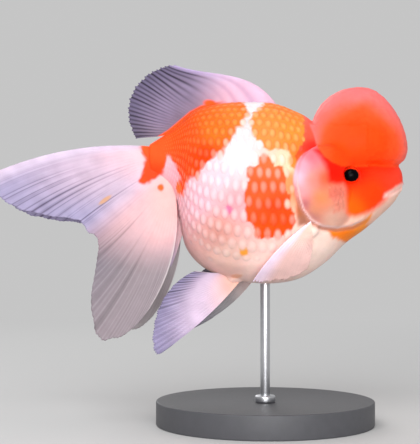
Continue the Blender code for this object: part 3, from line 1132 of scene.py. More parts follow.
SCALED_REGION = (
    (-40.0, 15.0), (-33.0, 20.6), (-27.0, 25.2), (-20.0, 29.0), (-12.0, 30.6), (-3.0, 31.0),
    (4.0, 30.6), (10.5, 28.0), (14.2, 24.6), (14.2, 20.0), (13.6, 14.5), (11.6, 10.5), (9.8, 7.0),
    (9.6, 1.5), (10.6, -3.0), (12.4, -8.0), (12.0, -13.0), (9.0, -18.0), (4.5, -22.0),
    (-1.0, -24.6), (-10.0, -25.4), (-18.5, -23.4), (-26.0, -17.0), (-31.5, -9.0), (-32.0, -2.0),
    (-40.0, 6.0),
)


def gill_edge_depth(x: Values, z: Values) -> tuple[Values, Values]:
    """How deep places lie inside the gill cover's edge, and how near its free part they are.

    Args:
        x: places along the fish, in the side view.
        z: their heights.

    Returns:
        The depth, less than 0 outside, and a share that is 1 along the free edge.
    """
    free = smooth_step(35.0, 30.0, x) * smooth_step(8.0, 1.0, z)
    return depth_inside(GILL_EDGE, x, z), free


def scaliness(x: Values, z: Values) -> Values:
    """How fully places of the side view are covered by scales, from 0 to 1."""
    front = smooth_step(0.0, 3.6, depth_inside(SCALED_REGION, x, z))
    return front * smooth_step(-34.5, -29.0, x)


# The skin


@dataclass
class Skin:
    """One skin over the head, crown, gill covers, lips, trunk and tail stalk."""

    body: BodyShape
    crown: Crown
    gill_covers: tuple[GillCover, ...]
    eyes: EyePlace
    markings: Markings
    coat_depth: float = 0.5
    gap_shade: Shade = (1.0, 0.97, 0.97)
    voxel: float = 0.46
    lobe_height: float = 1.3
    lobe_blend: Span = (0.3, 1.8)
    lips_at: Place = (44.2, 0.0, 1.0)
    lips_radii: Span = (2.0, 0.9)
    lips_stretch: Place = (0.8, 1.4, 1.0)
    lips_tilt: float = 22.0
    mouth: tuple[Corner, Corner] = ((45.6, 1.5), (39.6, -1.4))
    mouth_depth: float = 0.35
    mouth_width: float = 0.5
    slit_width: float = 0.4
    slit_shade: Shade = (0.92, 0.74, 0.7)
    crown_grain: Ripples = Ripples(2.6, 21)
    crown_grain_height: float = 0.05
    cheek_grain: Ripples = Ripples(1.2, 22)
    cheek_grain_height: float = 0.12
    rim_band: Span = (0.9, 0.8)
    """The middle and width of the gill cover's raised rim, inside its edge."""
    rim_height: float = 0.3
    gap_band: Span = (-0.6, 0.7)
    """The middle and width of the gap behind the gill cover."""
    gap_depth: float = 0.7
    rim_light: Colour = (255, 226, 226)
    rim_light_band: Span = (0.3, 0.35)
    rim_light_share: float = 0.55
    # Painted shadow: a dark brown band in the gap under the lower part of the gill cover's free
    # edge, where shade falls.
    gap_painted_shadow: Colour = (176, 112, 88)
    gap_painted_shadow_band: Span = (-0.6, 0.6)
    gap_painted_shadow_share: float = 0.8
    gap_painted_shadow_below: Span = (5.0, -5.0)
    eye_margin: float = 0.8
    eye_reach: float = 2.0

    def _torus(
        self, major: float, minor: float, turn: Matrix, at: tuple[float, ...]
    ) -> Piece:
        """A ring of these radii, turned and placed.

        Args:
            major: its own radius.
            minor: the radius of its tube.
            turn: its turn and stretch.
            at: its middle.

        Returns:
            The ring's object.
        """
        clear_selection()
        bpy.ops.mesh.primitive_torus_add(
            major_segments=64, minor_segments=20, major_radius=major, minor_radius=minor
        )
        obj = bpy.context.object
        put_points(obj, read_vertices(obj) @ np.array(turn).T + at)
        return obj

    def _forms(self) -> list[Piece]:
        """The overlapping forms that the skin is drawn over.

        Returns:
            The forms, each an object.
        """
        forms = [self.body.build(), self.crown.build()]
        forms += [cover.build() for cover in self.gill_covers]
        tilt = Matrix.Rotation(math.radians(90.0 + self.lips_tilt), 3, "Y")
        stretch = Matrix.Diagonal(self.lips_stretch)
        forms.append(self._torus(*self.lips_radii, tilt @ stretch, self.lips_at))
        for sign in (-1, 1):
            x, _, z = self.eyes.at
            sideways = Matrix.Rotation(math.radians(90.0), 3, "X")
            at = (x, sign * self.eyes.rim_side, z)
            forms.append(self._torus(self.eyes.rim, self.eyes.rim_thickness, sideways, at))
            for lump in LUMPS:
                obj = add_sphere("lump_form", 32, 24)
                lean = np.array(Matrix.Rotation(math.radians(lump.lean), 3, "Y"))
                place = np.array(lump.at) * (1.0, sign, 1.0)
                put_points(obj, read_vertices(obj) * lump.radii @ lean.T + place)
                forms.append(obj)
        return forms

    def build(self) -> Piece:
        """The skin's mesh, with its relief and its tint.

        Returns:
            The skin's object.
        """
        forms = self._forms()
        clear_selection()
        for form in forms:
            form.select_set(True)
        bpy.context.view_layer.objects.active = forms[0]
        bpy.ops.object.join()
        skin = bpy.context.object
        skin.name = skin.data.name = "skin"
        apply_modifier(skin, "REMESH", mode="VOXEL", voxel_size=self.voxel * MM)
        apply_modifier(skin, "SMOOTH", factor=0.5, iterations=6)
        raise_points(skin, self._relief(get_points(skin)))
        self._blend_lobe(skin)
        apply_modifier(skin, "SMOOTH", factor=0.3, iterations=1)
        skin.data.shade_smooth()
        store_tint(skin, self._tint(get_points(skin)))
        skin.data.materials.clear()
        skin.data.materials.append(SKIN_FINISH.material())
        return skin

    def _blend_lobe(self, skin: Piece) -> None:
        """Smooths the crease that is left where the crown's lower lobe joins its dome.

        Args:
            skin: the skin with its relief.
        """
        inside = depth_inside(CROWN_LOBE, *self.markings.side_view(get_points(skin)))
        weights = smooth_step(*self.lobe_blend, inside)
        group = skin.vertex_groups.new(name="lobe")
        for index in np.flatnonzero(weights > 0.0):
            group.add([int(index)], float(weights[index]), "REPLACE")
        apply_modifier(skin, "SMOOTH", factor=0.5, iterations=200, vertex_group="lobe")
        skin.vertex_groups.clear()

    def _relief(self, points: Points) -> Values:
        """How far the skin stands out from the forms, less than 0 where it lies in.

        Args:
            points: the skin's places on the forms.

        Returns:
            A height in millimetres for each place.
        """
        x, z = self.markings.side_view(points)
        relief = -self.coat_depth * scaliness(x, z)
        level = self.crown.level(points)
        on_crown = smooth_step(1.05, 1.0, level)
        relief += on_crown * self.crown_grain_height * self.crown_grain.at(points)
        lobe = smooth_step(-0.4, 1.2, depth_inside(CROWN_LOBE, x, z))
        relief += lobe * smooth_step(0.985, 1.03, level) * self.lobe_height
        relief += CHEEK.cover(x, z, 0.0) * self.cheek_grain_height * self.cheek_grain.at(points)
        relief -= self.mouth_depth * band(self._mouth_distance(points), 0.0, self.mouth_width)
        depth, free = gill_edge_depth(x, z)
        rim = self.rim_height * band(depth, *self.rim_band)
        relief += free * (rim - self.gap_depth * band(depth, *self.gap_band))
        eye_x, eye_side, eye_z = self.eyes.at
        from_eye = np.hypot(points[:, 0] - eye_x, points[:, 2] - eye_z)
        beside = np.abs(points[:, 1]) > eye_side - self.eye_reach
        hollow = smooth_step(self.eyes.rim, self.eyes.rim - self.eye_margin, from_eye)
        return relief - self.eyes.hollow * hollow * beside

    def _mouth_distance(self, points: Points) -> Values:
        """How far places lie from the line of the closed mouth, in the side view."""
        return line_distance(*self.mouth, points[:, 0], points[:, 2])

    def _tint(self, points: Points) -> Points:
        """The skin's colour, with painted shadow in the gap behind the gill cover, painted shade in
        the mouth's slit, and a little darker under the scales.

        Args:
            points: the skin's places.

        Returns:
            A linear colour for each place.
        """
        tint = self.markings.colour(points)
        slit = band(self._mouth_distance(points), 0.0, self.slit_width)[:, None]
        tint = mix(tint, tint * self.slit_shade, slit)
        x, z = self.markings.side_view(points)
        tint = mix(tint, tint * self.gap_shade, scaliness(x, z)[:, None])
        depth, free = gill_edge_depth(x, z)
        edge = free * self.rim_light_share * band(depth, *self.rim_light_band)
        tint = lay(tint, self.rim_light, edge)
        # Painted shadow in the gap under the gill cover's lower edge.
        low = smooth_step(*self.gap_painted_shadow_below, z) * free
        gap = low * band(depth, *self.gap_painted_shadow_band) * self.gap_painted_shadow_share
        return lay(tint, self.gap_painted_shadow, gap)


# The scales


@dataclass
class ScaleCoat:
    """The pearl scales of one flank, each a low solid dome set in the skin."""

    body: BodyShape
    markings: Markings
    sign: int
    coat_depth: float = 0.5
    row_pitch: float = 4.9
    back_pitch: float = 0.72
    back_angles: Span = (20.0, 85.0)
    column_ratio: float = 0.66
    front_station: float = 11.0
    rear_station: float = 0.4
    cover: float = 0.47
    sides: int = 12
    rings: tuple[Span, ...] = ((0.32, 0.9), (0.6, 0.62), (0.83, 0.24), (1.0, -0.05))
    pearl_height: float = 0.5
    belly: Span = (-20.0, -5.0)
    belly_relief: float = 0.5
    bake_patch: float = 0.003
    pearl_colour: Colour = (238, 222, 226)
    own_hue: float = 0.4
    row_play: float = 0.06
    column_play: float = 0.05
    glow_middle: Shade = (1.0, 1.35, 0.95)
    glow_foot: Shade = (0.98, 0.66, 0.6)
    keep_from: float = 0.1
    angles: Values = field(init=False)
    stations: Values = field(init=False)

    def __post_init__(self) -> None:
        """Parts the flank into rows and columns."""
        self.angles = self._row_angles()
        middle = len(self.angles) // 2
        self.stations = self._column_stations(self.angles[middle + 1] - self.angles[middle])

    def _template(self) -> Piece:
        """One pearl of unit radius and height, closed below.

        Returns:
            The pearl's object, of a few dozen faces.
        """
        (radius, height), *outer = self.rings
        clear_selection()
        bpy.ops.mesh.primitive_circle_add(vertices=self.sides, radius=radius, fill_type="TRIFAN")
        pearl = bpy.context.object
        bpy.ops.object.mode_set(mode="EDIT")
        bpy.ops.mesh.select_mode(type="EDGE")
        bpy.ops.mesh.select_all(action="SELECT")
        bpy.ops.mesh.region_to_loop()
        bpy.ops.transform.translate(value=(0.0, 0.0, height - 1.0))
        for next_radius, next_height in outer:
            drop = {"value": (0.0, 0.0, next_height - height)}
            bpy.ops.mesh.extrude_edges_move(TRANSFORM_OT_translate=drop)
            widen = next_radius / radius
            bpy.ops.transform.resize(value=(widen, widen, 1.0), center_override=(0.0, 0.0, 0.0))
            radius, height = next_radius, next_height
        bpy.ops.mesh.edge_face_add()
        bpy.ops.mesh.select_all(action="SELECT")
        bpy.ops.mesh.normals_make_consistent(inside=False)
        bpy.ops.transform.translate(value=(0.0, 0.0, 1.0))
        bpy.ops.object.mode_set(mode="OBJECT")
        return pearl

    def _row_angles(self) -> Values:
        """The angles that part the flank into rows, which are lower along the back.

        Returns:
            An angle for each line between two rows, from back to keel.
        """
        fine = np.linspace(0.0, math.pi, 721)
        girth = self.body.surface(np.full(len(fine), float(self.body.middle)), fine)
        step = np.linalg.norm(np.diff(girth, axis=0), axis=1)
        low, high = np.radians(self.back_angles)
        pitch = self.row_pitch * mix(self.back_pitch, 1.0, smooth_step(low, high, fine[1:]))
        row = np.concatenate([[0.0], np.cumsum(step / pitch)])
        return np.interp(np.linspace(0.0, row[-1], round(row[-1]) + 1), row, fine)

    def _column_stations(self, row_angle: float) -> Values:
        """The stations of the columns, spaced in proportion to the height of the rows there.

        Args:
            row_angle: the angle between two rows on the middle of the flank.

        Returns:
            A station number for each column, from the head to the tail.
        """
        fine = np.linspace(self.front_station, self.rear_station, 600)
        flank = self.body.surface(fine, np.full(len(fine), math.pi / 2))
        below = self.body.surface(fine, np.full(len(fine), math.pi / 2 + row_angle))
        pitch = np.linalg.norm(below - flank, axis=1) * self.column_ratio
        steps = np.linalg.norm(np.diff(flank, axis=0), axis=1) / ((pitch[1:] + pitch[:-1]) / 2)
        column = np.concatenate([[0.0], np.cumsum(steps)])
        return np.interp(np.arange(int(column[-1]) + 1), column, fine)

    def _place(self, column: Values, row: Values) -> Points:
        """Places on the flank at fractions of columns and rows.

        Args:
            column: numbers of columns from the head.
            row: numbers of rows from the back.

        Returns:
            One place for each pair.
        """
        along = np.interp(column, np.arange(len(self.stations)), self.stations)
        rows, last = np.arange(len(self.angles)), len(self.angles) - 1
        angle = np.sign(row) * np.interp(np.abs(row), rows, self.angles)
        past_keel = 2 * math.pi - np.interp(2 * last - row, rows, self.angles)
        return self.body.surface(along, np.where(row > last, past_keel, angle) * self.sign)

    def build(self) -> Piece:
        """The flank's scales as one mesh, with tint and bake map.

        Returns:
            The scales' object.
        """
        template = self._template()
        unit = read_vertices(template)
        loops = [list(face.vertices) for face in template.data.polygons]
        bpy.data.objects.remove(template)
        random = np.random.default_rng(40 + self.sign)
        rows, columns = np.meshgrid(np.arange(len(self.angles) - 1), np.arange(len(self.stations)))
        row = rows.ravel() + 0.5
        column = columns.ravel() + 0.5 * (rows.ravel() % 2)
        row = row + random.uniform(-self.row_play, self.row_play, len(row))
        column = column + random.uniform(-self.column_play, self.column_play, len(row))
        root = self._place(column, row)
        x, z = self.markings.side_view(root)
        full = scaliness(x, z)
        keep = full > self.keep_from
        row, column, root, full = row[keep], column[keep], root[keep], full[keep]
        count = len(row)
        size = (0.7 + 0.3 * full) * random.uniform(0.95, 1.04, count)
        relief = full * mix(self.belly_relief, 1.0, smooth_step(*self.belly, root[:, 2]))
        points = self._shape(unit, row, column, size, full, relief, random)
        offset = np.arange(count)[:, None] * len(unit)
        faces = [[corner + base for corner in loop] for base in offset[:, 0] for loop in loops]
        name = "scales_left" if self.sign > 0 else "scales_right"
        mesh = bpy.data.meshes.new(name)
        if self.sign > 0:
            faces = [face[::-1] for face in faces]
        mesh.from_pydata(to_world(points).tolist(), [], faces)
        scales = bpy.data.objects.new(name, mesh)
        bpy.context.scene.collection.objects.link(scales)
        mesh.shade_smooth()
        self._sharpen_rims(mesh, unit)
        store_tint(scales, self._tint(unit, points, root, random))
        self._bake_map(mesh, unit, row, column)
        mesh.materials.append(SCALE_FINISH.material())
        return scales

    def _shape(
        self, unit: Points, row: Values, column: Values, size: Values, full: Values,
        relief: Values, random: np.random.Generator,
    ) -> Points:
        """Bends a copy of the template onto the flank at each root.

        Args:
            unit: the template's vertices.
            row: each scale's row.
            column: its column.
            size: its size against the even spacing.
            full: how fully the coat covers the skin there.
            relief: how high each pearl is against the highest ones.
            random: the source of small differences.

        Returns:
            The vertices of all the scales.
        """
        reach = (self.cover * size)[:, None]
        flat_column = (column[:, None] + unit[None, :, 0] * reach).ravel()
        flat_row = (row[:, None] + unit[None, :, 1] * reach).ravel()
        place = self._place(flat_column, flat_row)
        step = 0.05
        ahead = self._place(flat_column + step, flat_row) - place
        below = self._place(flat_column, flat_row + step) - place
        normal = np.cross(below, ahead) * self.sign
        normal /= np.maximum(np.linalg.norm(normal, axis=1), 1e-9)[:, None]
        local = np.linalg.norm(below, axis=1) / step / self.row_pitch
        local = np.clip(local, 0.35, 1.1)
        uneven = random.uniform(0.92, 1.08, len(row))
        height = unit[None, :, 2] * (self.pearl_height * relief * uneven)[:, None]
        height = height.ravel() * local - self.coat_depth * np.repeat(full, len(unit))
        return place + normal * height[:, None]

    def _tint(
        self, unit: Points, points: Points, root: Points, random: np.random.Generator
    ) -> Points:
        """Colours each scale: the skin's own marking, with a pale pearl in the middle.

        Args:
            unit: the template's vertices.
            points: the vertices of all the scales.
            root: each scale's place.
            random: the source of small differences.

        Returns:
            A linear colour for each vertex.
        """
        skin = self.markings.colour(root) * random.uniform(0.97, 1.03, len(root))[:, None]
        glow = self.markings.glow(root)[:, None]
        skin = skin * mix(np.ones(3), np.array(self.glow_middle), glow)
        white = mix(linear(self.pearl_colour), np.sqrt(np.clip(skin, 0.0, 1.0)), self.own_hue)
        pearl = mix(skin, white, self.markings.pearl(root)[:, None])
        foot = self.markings.colour(points).reshape(len(root), len(unit), 3)
        foot = foot * mix(np.ones(3), np.array(self.glow_foot), glow)[:, None, :]
        share = smooth_step(1.0, 0.35, np.hypot(unit[:, 0], unit[:, 1]))
        return mix(foot, pearl[:, None, :], share[None, :, None]).reshape(-1, 3)

    def _sharpen_rims(self, mesh: bpy.types.Mesh, unit: Points) -> None:
        """Parts the shading of each dome from that of its hidden underside.

        Args:
            mesh: the scales' mesh.
            unit: the template's vertices.
        """
        ends = np.empty(len(mesh.edges) * 2, np.int32)
        mesh.edges.foreach_get("vertices", ends)
        on_rim = unit[:, 2] < unit[:, 2].min() + 1e-6
        sharp = on_rim[ends.reshape(-1, 2) % len(unit)].all(axis=1)
        attribute = mesh.attributes.new("sharp_edge", "BOOLEAN", "EDGE")
        attribute.data.foreach_set("value", sharp)

    def _bake_map(self, mesh: bpy.types.Mesh, unit: Points, row: Values, column: Values) -> None:
        """Gives each scale a small patch at its root's place on the unwrapped flank.

        Args:
            mesh: the scales' mesh.
            unit: the template's vertices.
            row: each scale's row.
            column: its column.
        """
        layer = mesh.uv_layers.new(name="OFBake")
        u = 0.05 + 0.9 * column / len(self.stations)
        v = 0.05 + 0.9 * row / len(self.angles)
        places = np.stack([u, v], axis=1)[:, None, :] + unit[None, :, :2] * self.bake_patch / 2
        places = places.reshape(-1, 2)
        corners = np.empty(len(mesh.loops), np.int32)
        mesh.loops.foreach_get("vertex_index", corners)
        layer.data.foreach_set("uv", places[corners].astype(np.float32).ravel())


# The fins


class Side(Enum):
    """The fish's two sides."""

    RIGHT = -1
    LEFT = 1


@dataclass(frozen=True)
class FinLook:
    """A fin's colours, from its root to its margin."""

    root: Colour
    middle: Colour
    margin: Colour
    # The line colour darkens the membrane between the rays: partly its own tone and partly painted
    # shade of its pleats.
    line: Colour
    lead: Colour
    line_from: float = 0.3
    line_strength: float = 0.7


@dataclass
class Fin:
    """A fin: a fan of branching rays with a thin membrane between them."""

    name: str
    look: FinLook
    rays: int = 16
    samples: int = 10
    steps: int = 60
    inset: float = 1.6
    membrane: float = 0.26
    ray_height: float = 0.14
    notch: float = 0.03
    ragged: float = 0.012
    line_evenness: float = 0.3
    line_bias: float = 1.0
    line_sharpness: float = 8.0
    line_fall: float = 0.0
    lead_width: float = 0.08
    branch: Span = (0.4, 0.75)
    pleat: float = 0.05
    stand_from: Span = (0.04, 0.35)
    """The shares of a ray's length from where to where it rises out of the membrane."""
    ray_taper: float = 0.65
    second_lines: float = 0.7
    cloud: Ripples = Ripples(5.0, 31)
    cloud_share: float = 0.03
    seed: int = 60

    def surface(self, across: Values, along: Values) -> Points:
        """The fin's middle surface; each kind of fin has its own."""
        raise NotImplementedError

    def ray_points(
        self, root: Points, tip: Points, along: Values, bow: Values, fall: int = 1
    ) -> Points:
        """Places on curved rays, from inside the flesh to their tips.

        Args:
            root: each ray's root.
            tip: its tip.
            along: the share of its length.
            bow: how far it is bowed in the fish's middle plane.
            fall: a higher power brings the fullest part of the bow nearer the root.

        Returns:
            One place for each ray and share.
        """
        chord = tip - root
        root = root - chord / np.linalg.norm(chord, axis=1)[:, None] * self.inset
        chord = tip - root
        across = np.stack([chord[:, 2], np.zeros(len(chord)), -chord[:, 0]], axis=1)
        across /= np.linalg.norm(across, axis=1)[:, None]
        fullest = fall**fall / (1 + fall) ** (1 + fall)
        bend = bow * along * (1 - along) ** fall / fullest
        return root + chord * along[:, None] + across * bend[:, None]

    def ridge(self, across: Values, along: Values) -> Values:
        """How far the rays stand out: 1 on a ray and 0 on the membrane between two.

        Args:
            across: the share of the fan.
            along: the share of the ray's length.

        Returns:
            A share for each vertex.
        """
        single = np.cos(math.pi * across * self.rays) ** 2
        double = np.cos(2.0 * math.pi * across * self.rays) ** 2
        return mix(single**1.5, double**1.2, smooth_step(*self.branch, along))

    def build(self) -> Piece:
        """The fin's mesh with its rays, comb margin and tint.

        Returns:
            The fin's object.
        """
        clear_selection()
        columns = self.rays * self.samples
        bpy.ops.mesh.primitive_grid_add(
            x_subdivisions=columns, y_subdivisions=self.steps, size=1.0
        )
        fin = bpy.context.object
        fin.name = fin.data.name = self.name
        unit = read_vertices(fin)
        across, along = unit[:, 0] + 0.5, unit[:, 1] + 0.5
        ridge = self.ridge(across, along)
        strip = np.stack([across * self.rays, np.zeros(len(across))], axis=1)
        ragged = self.ragged * (1.0 + Ripples(1.7, self.seed).at(strip))
        short = self.notch * (1.0 - ridge) ** 2 + ragged
        points = self.surface(across, along * (1.0 - short))
        put_points(fin, points)
        lift = self.pleat * along**1.5 * (ridge - 0.5)
        put_points(fin, points + read_vertices(fin, "normal") * lift[:, None])
        for label, values in (("across", across), ("along", along)):
            attribute = fin.data.attributes.new(label, "FLOAT", "POINT")
            attribute.data.foreach_set("value", values.astype(np.float32))
        apply_modifier(fin, "SOLIDIFY", thickness=self.membrane * MM, offset=0.0)
        across, along = (self._read(fin, label) for label in ("across", "along"))
        stand = self.ray_height * smooth_step(*self.stand_from, along)
        stand = stand * (1.0 - self.ray_taper * along) * self.ridge(across, along)
        raise_points(fin, stand)
        store_tint(fin, self.tint(across, along, get_points(fin)))
        fin.data.shade_smooth()
        fin.data.materials.append(FIN_FINISH.material())
        return fin

    def lines(self, across: Values, along: Values) -> Values:
        """How dark the membrane is between the rays, each gap with a strength of its own; the
        darkness is partly the membrane's own tone and partly painted shade of its pleats.

        Args:
            across: the share of the fan.
            along: the share of the ray's length.

        Returns:
            A share for each vertex.
        """
        shades = []
        for count in (self.rays, 2 * self.rays):
            random = np.random.default_rng(self.seed + count)
            strength = random.uniform(self.line_evenness, 1.0, count + 1)
            own = strength[np.clip((across * count).astype(int), 0, count)] ** self.line_bias
            shades.append(own * np.abs(np.sin(math.pi * across * count)) ** self.line_sharpness)
        single, double = shades
        both = np.maximum(single, self.second_lines * double)
        return mix(single, both, smooth_step(*self.branch, along))

    def _read(self, fin: Piece, label: str) -> Values:
        """Reads a value for each vertex.

        Args:
            fin: the fin's object.
            label: the attribute's name.

        Returns:
            The values.
        """
        values = np.empty(len(fin.data.vertices), np.float32)
        fin.data.attributes[label].data.foreach_get("value", values)
        return values.astype(float)

    def tint(self, across: Values, along: Values, points: Points) -> Points:
        """The fin's colour, with darker lines in the membrane between its rays: partly its own tone
        and partly painted shade of its pleats.

        Args:
            across: the share of the fan.
            along: the share of the ray's length.
            points: the places themselves.

        Returns:
            A linear colour for each vertex.
        """
        look = self.look
        tint = mix(linear(look.root), linear(look.middle), smooth_step(0.0, 0.5, along)[:, None])
        tint = lay(tint, look.margin, smooth_step(0.45, 1.0, along))
        lines = self.lines(across, along) * smooth_step(look.line_from, 0.85, along)
        lines = lines * look.line_strength
        lines = lines * (1.0 - self.line_fall * smooth_step(0.3, 0.8, across))
        tint = lay(tint, look.line, lines)
        tint = lay(tint, look.lead, smooth_step(self.lead_width, 0.0, across))
        return tint * (1.0 + self.cloud_share * self.cloud.at(points))[:, None]


@dataclass
class DorsalFin(Fin):
    """The single fin along the back."""

    body: BodyShape = field(default_factory=BodyShape)
    tip_centre: Span = (-29.7, 26.0)
    tip_radius: float = 15.6
    tip_arc: Span = (92.0, 214.0)
    bow: Span = (3.8, -0.6)
    bow_fall: float = 0.3
    root_spread: float = 0.5
    wave: float = 0.9
    knob: Spot = Spot(-18.0, 28.6, 2.4, 1.4, (246, 84, 24), lean=-14.0)
    white_from: Span = (-26.0, -9.0)
    white: tuple[Colour, Colour] = ((216, 176, 196), (202, 178, 204))
    white_share: float = 0.9
    front_line: Colour = (140, 108, 140)
    front_line_share: float = 0.4
    rear_shade: Shade = (0.94, 0.98, 0.8)
    rear_share: float = 0.6
    orange_foot: Span = (-12.0, -17.0)
    foot_height: Span = (1.3, 0.4)

    def surface(self, across: Values, along: Values) -> Points:
        """The fin's middle surface, from the back to an arc behind it.

        Args:
            across: the share of the fan.
            along: the share of the ray's length.

        Returns:
            One place for each vertex, in fish millimetres.
        """
        spread = across**self.root_spread
        station = mix(float(self.body.dorsal_start), float(self.body.stalk), spread)
        root = self.body.surface(station, np.zeros(len(across)))
        arc = np.radians(mix(*self.tip_arc, across))
        tip = np.stack(
            [
                self.tip_centre[0] + np.cos(arc) * self.tip_radius,
                np.zeros(len(across)),
                self.tip_centre[1] + np.sin(arc) * self.tip_radius,
            ],
            axis=1,
        )
        bow = mix(*self.bow, smooth_step(0.0, self.bow_fall, across))
        points = self.ray_points(root, tip, along, bow, fall=2)
        points[:, 1] += self.wave * along * np.sin(2.0 * math.pi * across)
        return points

    def tint(self, across: Values, along: Values, points: Points) -> Points:
        """White with a pink flush in front, lavender behind, and an orange foot with a knob.

        Args:
            across: the share of the fan.
            along: the share of the ray's length.
            points: the places themselves.

        Returns:
            A linear colour for each vertex.
        """
        tint = super().tint(across, along, points)
        front = smooth_step(*self.white_from, points[:, 0])
        foot_white, tip_white = (linear(colour) for colour in self.white)
        white = mix(foot_white, tip_white, smooth_step(0.1, 0.6, along)[:, None])
        tint = mix(tint, white, (front * self.white_share)[:, None])
        # Darker lines between the front rays: partly the membrane's own tone and partly painted
        # shade of its pleats.
        near = self.lines(across, along) * front * smooth_step(0.9, 0.2, along)
        tint = lay(tint, self.front_line, near * self.front_line_share)
        dull = smooth_step(0.7, 1.0, across) * self.rear_share
        tint = mix(tint, tint * self.rear_shade, dull[:, None])
        back = self.body.surface(np.arange(self.body.last + 1.0), np.zeros(self.body.last + 1))
        order = np.argsort(back[:, 0])
        height = points[:, 2] - np.interp(points[:, 0], back[order, 0], back[order, 2])
        foot = smooth_step(*self.foot_height, height)
        foot = foot * smooth_step(*self.orange_foot, points[:, 0])
        orange = np.maximum(self.knob.cover(points[:, 0], points[:, 2], 0.0), foot)
        return lay(tint, self.knob.colour, orange)


class Lobe(NamedTuple):
    """A lobe of the tail: its angle below -X, its length and how far it spreads either way."""

    angle: float
    length: float
    spread_above: float
    spread_below: float


@dataclass
class TailFin(Fin):
    """One half of the double tail: an upper and a lower lobe joined at the fork."""

    side: Side = Side.RIGHT
    markings: Markings | None = None
    centre: Place = (-36.3, 0.0, 8.5)
    root_top: Place = (-36.0, 0.6, 14.0)
    root_bottom: Place = (-30.0, 4.4, -1.5)
    fan: Span = (4.0, 88.0)
    turn: Span = (0.0, 0.0)
    fork_length: float = 25.5
    lobes: tuple[Lobe, ...] = (
        Lobe(5.0, 54.0, 23.6, 23.6),
        Lobe(46.0, 28.8, 7.0, 7.0),
        Lobe(74.0, 58.0, 13.9, 21.7),
    )
    bow: float = 3.9
    splay: Span = (9.0, 21.0)
    wave: float = 1.3
    wave_count: float = 2.5
    dull_below: Span = (-5.0, -22.0)
    dull_lean: float = 6.0
    pink: tuple[Colour, Colour] = ((238, 174, 170), (210, 170, 174))
    dark: tuple[Colour, Colour] = ((92, 88, 100), (134, 123, 127))
    # Painted light: the far half's lower lobe is made paler, standing in for light through it where
    # it lies in shade.
    far_half_painted_light: Colour = (196, 190, 190)
    far_half_painted_light_share: float = 0.7
    gap_shade: float = 0.4
    gap_share: float = 0.75
    # The lower lobe's rays are lightened: partly their own paler tone and partly a painted
    # highlight along their ridges.
    ray_pale_and_glint: Colour = (164, 158, 162)
    ray_share: float = 0.3
    low_share: float = 0.95
    edge_light: Colour = (196, 188, 190)
    edge_share: float = 0.7
    streak_share: float = 0.8
    streak: Spot = Spot(-52.4, -3.1, 2.5, 0.7, (196, 146, 100), lean=36.0)

    def length(self, degrees: Values) -> Values:
        """How far the tail's margin lies from its centre, at angles below -X.

        Args:
            degrees: the angles.

        Returns:
            A length in millimetres for each.
        """
        length = np.full(len(degrees), self.fork_length)
        for lobe in self.lobes:
            offset = degrees - lobe.angle
            spread = np.where(offset > 0, lobe.spread_below, lobe.spread_above)
            length += (lobe.length - self.fork_length) * np.exp(-((offset / spread) ** 2))
        return length

    def surface(self, across: Values, along: Values) -> Points:
        """The half tail's middle surface, fanned out from the stalk.

        Args:
            across: the share of the fan.
            along: the share of the ray's length.

        Returns:
            One place for each vertex, in fish millimetres.
        """
        sign = self.side.value
        degrees = mix(*self.fan, across)
        angle = np.radians(degrees + mix(*self.turn, across))
        splay = np.tan(np.radians(mix(*self.splay, across)))
        outward = np.stack([-np.cos(angle), sign * splay, -np.sin(angle)], axis=1)
        tip = np.array(self.centre) + outward * self.length(degrees)[:, None]
        top, bottom = (np.array(p) * (1.0, sign, 1.0) for p in (self.root_top, self.root_bottom))
        root = mix(top, bottom, across[:, None])
        points = self.ray_points(root, tip, along, self.bow * (1.0 - 2.0 * across))
        ripple = np.sin(2.0 * math.pi * self.wave_count * across)
        points[:, 1] += sign * self.wave * along * ripple
        return points

    def tint(self, across: Values, along: Values, points: Points) -> Points:
        """White-lavender above, pinkish grey below, with the stalk's orange over its root.

        Args:
            across: the share of the fan.
            along: the share of the ray's length.
            points: the places themselves.

        Returns:
            A linear colour for each vertex.
        """
        tint = super().tint(across, along, points)
        low = smooth_step(0.42, 0.62, across)
        root_pink, low_pink = (linear(colour) for colour in self.pink)
        pink = mix(root_pink, low_pink, smooth_step(0.1, 0.5, along)[:, None])
        front = smooth_step(0.5, 0.85, across)
        dull = smooth_step(*self.dull_below, points[:, 2] + self.dull_lean * front)
        rear_dark, front_dark = (linear(colour) for colour in self.dark)
        grey = mix(pink, mix(rear_dark, front_dark, front[:, None]), dull[:, None])
        # Painted light on the far half's lower lobe.
        if self.side is Side.LEFT:
            grey = mix(grey, linear(self.far_half_painted_light), self.far_half_painted_light_share)
        gap = self.lines(across, along) * smooth_step(0.3, 0.7, along) * self.gap_share
        grey = mix(grey, grey * self.gap_shade, gap[:, None])
        # Lighter rays: partly their own tone and partly a painted highlight on their ridges.
        ray = self.ridge(across, along) ** 5 * smooth_step(0.3, 0.6, along) * dull
        grey = lay(grey, self.ray_pale_and_glint, ray * self.ray_share)
        tint = mix(tint, grey, (low * self.low_share)[:, None])
        edge = smooth_step(0.975, 1.0, across) * smooth_step(0.2, 0.5, along)
        tint = lay(tint, self.edge_light, edge * self.edge_share)
        if self.side is Side.RIGHT:
            streak = self.streak.cover(points[:, 0], points[:, 2], 0.0)
            tint = lay(tint, self.streak.colour, streak * self.streak_share)
        near_root = smooth_step(0.45, 0.3, along)[:, None]
        return mix(tint, self.markings.patches(points, tint), near_root)


